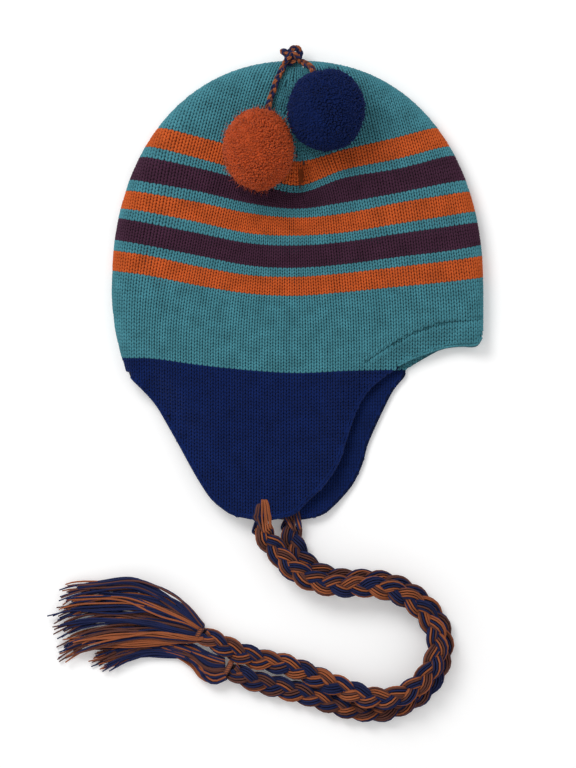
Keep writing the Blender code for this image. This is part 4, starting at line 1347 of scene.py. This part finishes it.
def hair(start, way, lengths, spread, sag, radii):
    """One fibre that leaves the pompom and bends."""
    bend = rng.normal(0, spread * MM, 3)
    length = rng.uniform(*lengths) * MM
    line = [start, start + way * 0.5 * length + sag * bend, start + way * length + bend]
    return line, tuple(radius * MM for radius in radii), CORD_ORANGE


tuft = tuft_mesh()
for name, place, size, material, slot, seed in POMPOMS:
    rng = np.random.default_rng(seed)
    turn = np.arange(TUFTS) * math.pi * (3 - math.sqrt(5))
    height = 1 - 2 * (np.arange(TUFTS) + 0.5) / TUFTS
    level = np.sqrt(1 - height * height)
    ways = np.stack((level * np.cos(turn), level * np.sin(turn), height), axis=1)
    ways = unit(ways + rng.normal(0, WAY_SCATTER, ways.shape))
    radii = np.array(size) * MM / 2
    lumps = (LUMP * np.sin(5 * ways[:, 0] + 4 * ways[:, 1] + seed)
             + LUMP * np.sin(6 * ways[:, 2] - 5 * ways[:, 0] + 2 * seed))
    reach = TIP_REACH + lumps + rng.normal(0, TIP_SCATTER, TUFTS)
    out = unit(ways / radii)
    out = unit(out + rng.normal(0, LEAN_SCATTER, out.shape))
    across = unit(np.cross(out, rng.normal(0, 1, out.shape)))
    centre = pompom_centre(place, size)
    places = {"at": centre + ways * radii * reach[:, None], "out": out, "across": across,
              "size": np.ones((TUFTS, 3)) * rng.uniform(*TUFT_SIZES, (TUFTS, 1))}
    ball = bmesh.new()
    bmesh.ops.create_icosphere(ball, subdivisions=4, radius=1.0)
    for vert in ball.verts:
        vert.co = Vector(centre + np.array(vert.co) * (radii - CORE_DEPTH))
    core = bpy.data.meshes.new(f"{name}_pompom_core")
    ball.to_mesh(core)
    ball.free()
    core.shade_smooth()
    add_piece(f"{name}_pompom_core", core, material, slot)
    scatter(f"{name}_pompom_tufts", places, tuft, material, slot, f"{name}_pompom", 0.1, seed)
    short = rng.choice(TUFTS, HAIRS, replace=False)
    hairs = [hair(places["at"][i], out[i], **SHORT_HAIR) for i in short]
    if name == "orange":
        stray = np.nonzero(ways @ np.array(LONG_HAIR_WAY) > LONG_HAIR_SPREAD)[0]
        chosen = stray[:: max(len(stray) // LONG_HAIRS, 1)]
        hairs += [hair(places["at"][i], out[i], **LONG_HAIR) for i in chosen]
    made = tube_mesh(f"{name}_pompom_hairs", hairs, 3)
    add_piece(f"{name}_pompom_hairs", made, material, slot)

# %% [markdown]
# ## Knot and pompom cords
# The cord of the pompoms is itself a small plait, orange beside dark blue, and the knot at the
# top is the same cord woven once round itself. The plait function does all of it: the knot's
# route is a closed trefoil that leans on the top fold, and a short plait runs over the knot
# from the orange pompom's cord to the blue one's.

# %% Tie the knot and hang the pompoms
ORANGE_CORD_ROUTE = (
    # x, y and z in metres, from the knot towards the pompom
    (-0.0085, 0.1352, 0.0187),
    (-0.0105, 0.1310, 0.0200),
    (-0.0127, 0.1262, 0.0205),
    (-0.0150, 0.1200, 0.0205),
    (-0.0167, 0.1145, 0.0209),
    (-0.0181, 0.1095, 0.0228),
)
BLUE_CORD_ROUTE = (
    # the same
    (0.0030, 0.1375, 0.0180),
    (0.0062, 0.1358, 0.0209),
    (0.0090, 0.1330, 0.0247),
)
THIN_PLAIT = {"swing": 1.05 * MM, "lift": 0.75 * MM, "strand_size": (0.55 * MM, 0.35 * MM),
              "yarns": 3, "radius": 0.55 * MM}
THIN_PLAIT_LENGTH = 10 * MM
THIN_CORD_PITCH = 0.8 * MM       # between the points of its line
CORD_END = 0.93                  # where it ends, in the pompom's radius from its centre
THIN_PALETTES = ((CORD_ORANGE,), (CORD_BLUE, CORD_BROWN), (CORD_BROWN, CORD_BLUE))
KNOT_LOBE = 2.0 * MM
KNOT_WEAVE = 2.0 * MM
KNOT_LEAN = math.radians(40)
OVER_KNOT = (
    # places over the knot, in mm from its middle
    (-2.6, -2.4, 6.4),
    (0.4, 0.8, 6.6),
    (3.4, -1.8, 6.4),
)
# the knot's core is near-black, painted shade of the knot's packed inside
KNOT_CORE = (
    # x from the knot's middle and radius of the dark core that fills it, in mm
    (-3.0, 2.5),
    (0.0, 3.3),
    (3.0, 2.5),
)

rng = np.random.default_rng(21)
for name, route in (("orange", ORANGE_CORD_ROUTE), ("blue", BLUE_CORD_ROUTE)):
    place, size = [(row[1], row[2]) for row in POMPOMS if row[0] == name][0]
    centre = pompom_centre(place, size)
    last = np.array(route[-1])
    toward = centre - last
    radii = np.array(size) * MM / 2
    inside = last + toward * (1 - CORD_END / np.linalg.norm(toward / radii))
    line, marks = resample(np.vstack((route, inside)), THIN_CORD_PITCH)
    strands = plait(line, marks, length=THIN_PLAIT_LENGTH, palettes=THIN_PALETTES, **THIN_PLAIT)
    cord = cord_piece(f"{name}_pompom_cord_yarns", strands, f"{name}_pompom_cord")
    print(name, "pompom cord length:", round(marks[-1], 4), "m")

knot_low, knot_high = (np.array(corner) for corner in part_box("top_knot"))
knot_centre = (knot_low + knot_high) / 2
t = np.linspace(0, math.tau, 37)[:-1]
trefoil = np.stack((KNOT_LOBE * (np.sin(t) + 2 * np.sin(2 * t)),
                    KNOT_LOBE * (np.cos(t) - 2 * np.cos(2 * t)),
                    -KNOT_WEAVE * np.sin(3 * t)), axis=1)
lean_cos, lean_sin = math.cos(KNOT_LEAN), math.sin(KNOT_LEAN)
leaning = np.stack((trefoil[:, 0], trefoil[:, 1] * lean_cos + trefoil[:, 2] * lean_sin,
                    -trefoil[:, 1] * lean_sin + trefoil[:, 2] * lean_cos), axis=1)
leaning -= (leaning.max(axis=0) + leaning.min(axis=0)) / 2
line, marks = resample(knot_centre + leaning, THIN_CORD_PITCH, closed=True)
turns_of_plait = round(marks[-1] / THIN_PLAIT_LENGTH)
strands = plait(line, marks, length=marks[-1] / turns_of_plait, palettes=THIN_PALETTES,
                **THIN_PLAIT)
over_knot = np.vstack((ORANGE_CORD_ROUTE[1], ORANGE_CORD_ROUTE[0],
                       knot_centre + np.array(OVER_KNOT) * MM, BLUE_CORD_ROUTE[:2]))
line, marks = resample(over_knot, THIN_CORD_PITCH)
strands += plait(line, marks, length=THIN_PLAIT_LENGTH, palettes=THIN_PALETTES, **THIN_PLAIT)
# a core of painted shade fills the knot
middle = knot_centre + np.array([(x, 0, 0) for x, _ in KNOT_CORE]) * MM
strands.append((middle, [radius * MM for _, radius in KNOT_CORE], CORD_SHADE_CORE))
print("Knot's size, mm:", ((knot_high - knot_low) / MM).round(1))
cord_piece("top_knot_yarns", strands, "top_knot")

# %% [markdown]
# ## Yarn through the flap tips
# Each braid starts as yarn pulled through the flap's tip and bent double over its edge, in two
# bundles side by side. Each yarn goes on into one that its braid starts with.

# %% Loop the yarn through the tips
HITCH_YARNS = 11                 # of a braid's yarns, on each face of the flap
HOLE_WIDTH = 4.8 * MM            # where they pass through the knit
HOLE_RISE = 12.6 * MM            # how far the hole is from the flap's edge
LEFT_RISE = 0.8                  # how far up the left bundle goes, in HOLE_RISE
SPLIT = 0.10                     # how far each bundle is moved aside, in HOLE_WIDTH
UNDER_WIDTH = 0.6                # how wide they lie under the flap, beside the width on top
STACK = (0.55, 0.95)             # height of the lower yarns and step to the upper, in YARN_RADIUS
OVERLAP = 1.2 * MM               # how far a yarn runs beside the start of the braid's own
NEAR_HITCH_X = -22.0 * MM
HITCH_ROUTE = (
    # how far up towards the hole, width in HOLE_WIDTH, and height over the knit, in the stack's
    (1.0, 0.8, -1.2),
    (0.94, 1.15, 0.6),
    (0.72, 1.5, 1.0),
    (0.42, 1.7, 1.0),
    (0.14, 2.0, 1.0),
)
HITCH_COLOURS = {
    # from left to right
    "near": [CORD_BLUE, CORD_BROWN, CORD_BLUE, CORD_BROWN, CORD_BLUE, CORD_ORANGE,
             CORD_ORANGE, CORD_BROWN, CORD_ORANGE, CORD_ORANGE],
    "far": [CORD_BROWN, CORD_BLUE, CORD_ORANGE, CORD_BLUE, CORD_BROWN] * 2,
}


def hitch_strands(x, layer, face, starts):
    """Yarns from a hole in the flap, over its edge and on into the braid, in two bundles."""
    strands = []
    starts = sorted(starts, key=lambda row: row[0][0][0])
    for i, (begun, colour) in enumerate(starts):
        share = (i + 0.5) / len(starts) - 0.5
        colour = HITCH_COLOURS[layer][int((share + 0.5) * 10)]
        share = (share + SPLIT * np.sign(share)) * (1.0 if face > 0 else UNDER_WIDTH)
        stack = (STACK[0] + STACK[1] * (i % 2)) * YARN_RADIUS
        rise_of_hole = HOLE_RISE * (LEFT_RISE if share < 0 else 1.0)
        points = []
        for rise, width, lift in HITCH_ROUTE:
            at = np.array((x + share * width * HOLE_WIDTH, TIP_Y + rise * rise_of_hole))
            height = LAYERS[layer][0](at[:1], at[1:])[0]
            if face > 0:
                surface = height if layer == "near" else height + KNIT
            else:
                surface = height - KNIT if layer == "near" else height
            points.append((*at, surface + face * lift * stack))
        run = begun[1] - begun[0]
        run /= np.linalg.norm(run)
        points.extend((begun[0] - OVERLAP * run, begun[0] + OVERLAP * run))
        strands.append((resample(points, 1.0 * MM)[0], YARN_RADIUS, colour))
    return strands


for side_name, x in (("near", NEAR_HITCH_X), ("far", FAR_BRAID_ROUTE[0][0])):
    by_height = sorted(braid_starts[side_name], key=lambda row: row[0][0][2])
    strands = (hitch_strands(x, side_name, 1, by_height[-HITCH_YARNS:])
               + hitch_strands(x, side_name, -1, by_height[:HITCH_YARNS]))
    cord_piece(f"{side_name}_hitch_yarns", strands, f"{side_name}_braid_hitch", 6)

# %% [markdown]
# ## Ties
# At its other end a few turns of yarn hold each braid, and the ends below them are the tassel.

# %% Wind the ties
TIE_LENGTH = 5.0 * MM
TIE_RADIUS = 4.6 * MM
TIE_YARN_RADIUS = 0.8 * MM
TIE_TURNS = 2.6
TIE_START = 0.6                  # where along the tie its yarn starts, in TIE_LENGTH
TIE_BACK = 0.3                   # how far the tie sits back over the braid, in TIE_LENGTH
TIE_POINTS = 60

for side_name, route in (("near", NEAR_BRAID_ROUTE), ("far", FAR_BRAID_ROUTE)):
    end, before = np.array(route[-1]), np.array(route[-2])
    along = (end - before) / np.linalg.norm(end - before)
    aside = np.cross(along, (0.0, 0.0, 1.0))
    above = np.cross(aside, along)
    strands = []
    for start, colour in ((0.0, CORD_BROWN), (math.pi, CORD_ORANGE)):
        turn = start + np.linspace(0, TIE_TURNS * math.tau, TIE_POINTS)
        out = (np.cos(turn)[:, None] * aside + np.sin(turn)[:, None] * above) * TIE_RADIUS
        reach = np.linspace(TIE_START, 1.0, TIE_POINTS)[:, None] * TIE_LENGTH
        middle = end + out + (reach - TIE_BACK * TIE_LENGTH) * along
        strands.append((middle, TIE_YARN_RADIUS, colour))
    cord_piece(f"{side_name}_tie_yarns", strands, f"{side_name}_tassel_tie", 6)

# %% [markdown]
# ## Tassels
# Below its tie each braid falls open into loose ends. They keep together in locks of mostly
# one colour, fan out between an upper and a lower outline, and end at different lengths. The
# near tassel lies on the far one and hides most of it.

# %% Let the yarn ends fall
NEAR_OUTLINES = (
    # x and y in mm of the fan's upper and lower edge, from the tie to the ends
    ((-58.6, -211.4), (-66.7, -202.7), (-76.0, -195.3), (-88.4, -187.9), (-102.6, -182.6),
     (-119.4, -183.4), (-138.0, -186.0), (-152.0, -191.0)),
    ((-58.6, -220.1), (-66.7, -221.3), (-77.8, -221.3), (-91.5, -220.7), (-107.0, -222.8),
     (-122.5, -225.3), (-136.1, -229.5), (-150.5, -237.0)),
)
FAR_OUTLINES = (
    ((-45.6, -232.5), (-53.0, -229.4), (-60.5, -225.1), (-67.9, -223.2), (-82.2, -222.0),
     (-97.7, -223.8), (-116.3, -226.3), (-133.6, -229.4)),
    ((-44.3, -243.7), (-51.8, -246.9), (-58.0, -243.2), (-62.3, -236.3), (-72.9, -231.4),
     (-88.4, -229.0), (-103.9, -232.0), (-120.0, -238.8)),
)
TASSELS = (
    # side, outlines, lowest and highest in mm at the tie, in the middle and at the ends, locks,
    # and how far the colours are moved along
    ("near", NEAR_OUTLINES, ((2.2, 9.0), (4.6, 11.2), (1.2, 6.5)), 30, 0.0),
    ("far", FAR_OUTLINES, ((2.0, 9.0), (1.0, 4.0), (0.9, 3.5)), 15, 0.68),
)
LOCK_COLOURS = (
    # how far across the fan, and the shares of blue and of orange locks from there on. The
    # others are brown
    (0.00, 0.85, 0.05),
    (0.16, 0.25, 0.50),
    (0.34, 0.75, 0.10),
    (0.50, 0.35, 0.45),
    (0.64, 0.70, 0.10),
    (0.86, 0.15, 0.75),
)
LOCK_YARNS = 6
END_RADIUS = 0.62 * MM
TASSEL_POINTS = 26
KNEE = 0.35                      # where along a tassel its middle heights hold
LOOSE_FROM = 0.6                 # from where its yarns spread
OWN_COLOUR = 0.66                # the share of a lock's yarns that have its colour
MIXED = (CORD_BROWN, CORD_BROWN, CORD_BLUE, CORD_ORANGE)     # the others' colours
LOCK_DRIFT = 0.08                # how far a lock drifts across the fan towards its end
YARN_DRIFT = 0.06
LOCK_ENDS = (0.84, 1.0)          # where locks end, in the fan's length
YARN_ENDS = (-0.11, 0.05)        # and how much sooner or later each yarn does
ASIDE_SPREAD = 2.4 * MM
ABOVE_SPREAD = 0.6 * MM
FLOOR_GAP = 1.1                  # lowest a yarn's middle lies, in END_RADIUS


def along_outline(outline):
    """An outline at evenly spaced points."""
    flat = np.column_stack((np.array(outline) * MM, np.zeros(len(outline))))
    fine, marks = resample(flat, 1.0 * MM)
    at = np.linspace(0, marks[-1], TASSEL_POINTS)
    return np.stack([np.interp(at, marks, fine[:, axis]) for axis in (0, 1)], axis=1)


for side_name, outlines, heights, locks, moved in TASSELS:
    rng = np.random.default_rng(31)
    upper, lower = along_outline(outlines[0]), along_outline(outlines[1])
    u = np.linspace(0, 1, TASSEL_POINTS)
    low, high = (np.interp(u, (0.0, KNEE, 1.0), column) for column in zip(*heights))
    levels = rng.permutation(locks) / (locks - 1)
    strands = []
    for k in range(locks):
        share = (k + rng.uniform(0.1, 0.9)) / locks
        blue, orange = [row[1:] for row in LOCK_COLOURS if row[0] <= (share + moved) % 1][-1]
        main = rng.uniform()
        colour = CORD_BLUE if main < blue else CORD_ORANGE if main < blue + orange else CORD_BROWN
        wave = rng.uniform(-1.6, 1.6) * np.sin(math.tau * (u * rng.uniform(0.6, 1.3)
                                                           + rng.uniform(0, 1)))
        drift = rng.normal(0, LOCK_DRIFT)
        height = (low + (high - low) * levels[k]) * MM
        last = rng.uniform(*LOCK_ENDS)
        for j in range(LOCK_YARNS):
            own_drift = drift + rng.normal(0, YARN_DRIFT)
            own_share = np.clip(share + own_drift * u * u, 0.0, 1.0)[:, None]
            plan = upper * (1 - own_share) + lower * own_share
            side = unit(np.gradient(plan, axis=0)[:, ::-1] * (-1, 1))
            turn = math.tau * j / LOCK_YARNS + 1.5 * u * rng.uniform(0.5, 1.5)
            width = (1.0 + 0.5 * u) * MM
            loose = np.maximum(u - LOOSE_FROM, 0.0) ** 2 / (1 - LOOSE_FROM) ** 2
            aside = np.cos(turn) * width + rng.normal(0, ASIDE_SPREAD) * loose
            aside += wave * smooth(u * 4) * rng.uniform(1.0, 1.9) * MM
            aside += (rng.uniform(0.3, 1.5) * MM * smooth(u * 3)
                      * np.sin(math.tau * (u * rng.uniform(0.8, 2.0) + rng.uniform(0, 1))))
            above = np.sin(turn) * width * 0.7 + rng.normal(0, ABOVE_SPREAD) * loose
            points = np.column_stack((plan + side * aside[:, None], height + above))
            points[:, 2] = np.maximum(points[:, 2], END_RADIUS * FLOOR_GAP)
            end = last + rng.uniform(*YARN_ENDS)
            at = np.linspace(0, min(end, 1.0), TASSEL_POINTS)
            points = np.stack([np.interp(at, u, points[:, axis]) for axis in range(3)], axis=1)
            own = colour if rng.uniform() < OWN_COLOUR else MIXED[int(rng.integers(4))]
            radii = END_RADIUS * np.interp(u, (0, 0.9, 1), (1.0, 1.0, 0.7))
            strands.append((points, radii, own))
    cord_piece(f"{side_name}_tassel_yarns", strands, f"{side_name}_tassel")

# %% [markdown]
# ## Floor and light
# The photograph has a white ground and light from all round, so the floor is white, the world
# is bright, and one large soft lamp from the top left gives each stitch a lit side.

# %% Lay the floor and set the lights
FLOOR_HALF = 3.0
FLOOR_DROP = 0.1 * MM            # keeps the floor clear of the hat's underside
LAMP_PLACE = (-0.55, 0.65, 1.1)
LAMP_AIM = Vector((0, -0.02, 0))
floor_mesh = bpy.data.meshes.new("floor")
corners = [(x * FLOOR_HALF, y * FLOOR_HALF, 0) for x, y in ((-1, -1), (1, -1), (1, 1), (-1, 1))]
floor_mesh.from_pydata(corners, [], [(0, 1, 2, 3)])
floor = bpy.data.objects.new("floor", floor_mesh)
floor.location.z = -FLOOR_DROP
bpy.context.scene.collection.objects.link(floor)
paper = bpy.data.materials.new("white paper floor")
paper.use_nodes = True
paper_shader = paper.node_tree.nodes["Principled BSDF"]
paper_shader.inputs["Base Color"].default_value = linear("#FBFBFB")
paper_shader.inputs["Roughness"].default_value = 0.9
paper_shader.inputs["Emission Color"].default_value = linear("#FFFFFF")
paper_shader.inputs["Emission Strength"].default_value = 0.10
floor_mesh.materials.append(paper)

world = bpy.data.worlds.new("white room")
bpy.context.scene.world = world
world.use_nodes = True
world.node_tree.nodes["Background"].inputs["Color"].default_value = linear("#FFFFFF")
world.node_tree.nodes["Background"].inputs["Strength"].default_value = 0.72

lamp = bpy.data.objects.new("soft lamp", bpy.data.lights.new("soft lamp", "AREA"))
lamp.data.shape = "DISK"
lamp.data.size = 0.7
lamp.data.energy = 9.0
lamp.location = LAMP_PLACE
lamp.rotation_euler = (LAMP_AIM - lamp.location).to_track_quat("-Z", "Y").to_euler()
bpy.context.scene.collection.objects.link(lamp)
bpy.context.scene.view_settings.view_transform = "Standard"
print("Floor, world and lamp are in place")

# %% [markdown]
# ## Measure and finish
# The triangles of all pieces are counted.

# %% Count the triangles and finish
print("Triangles in all:", sum(triangles.values()))
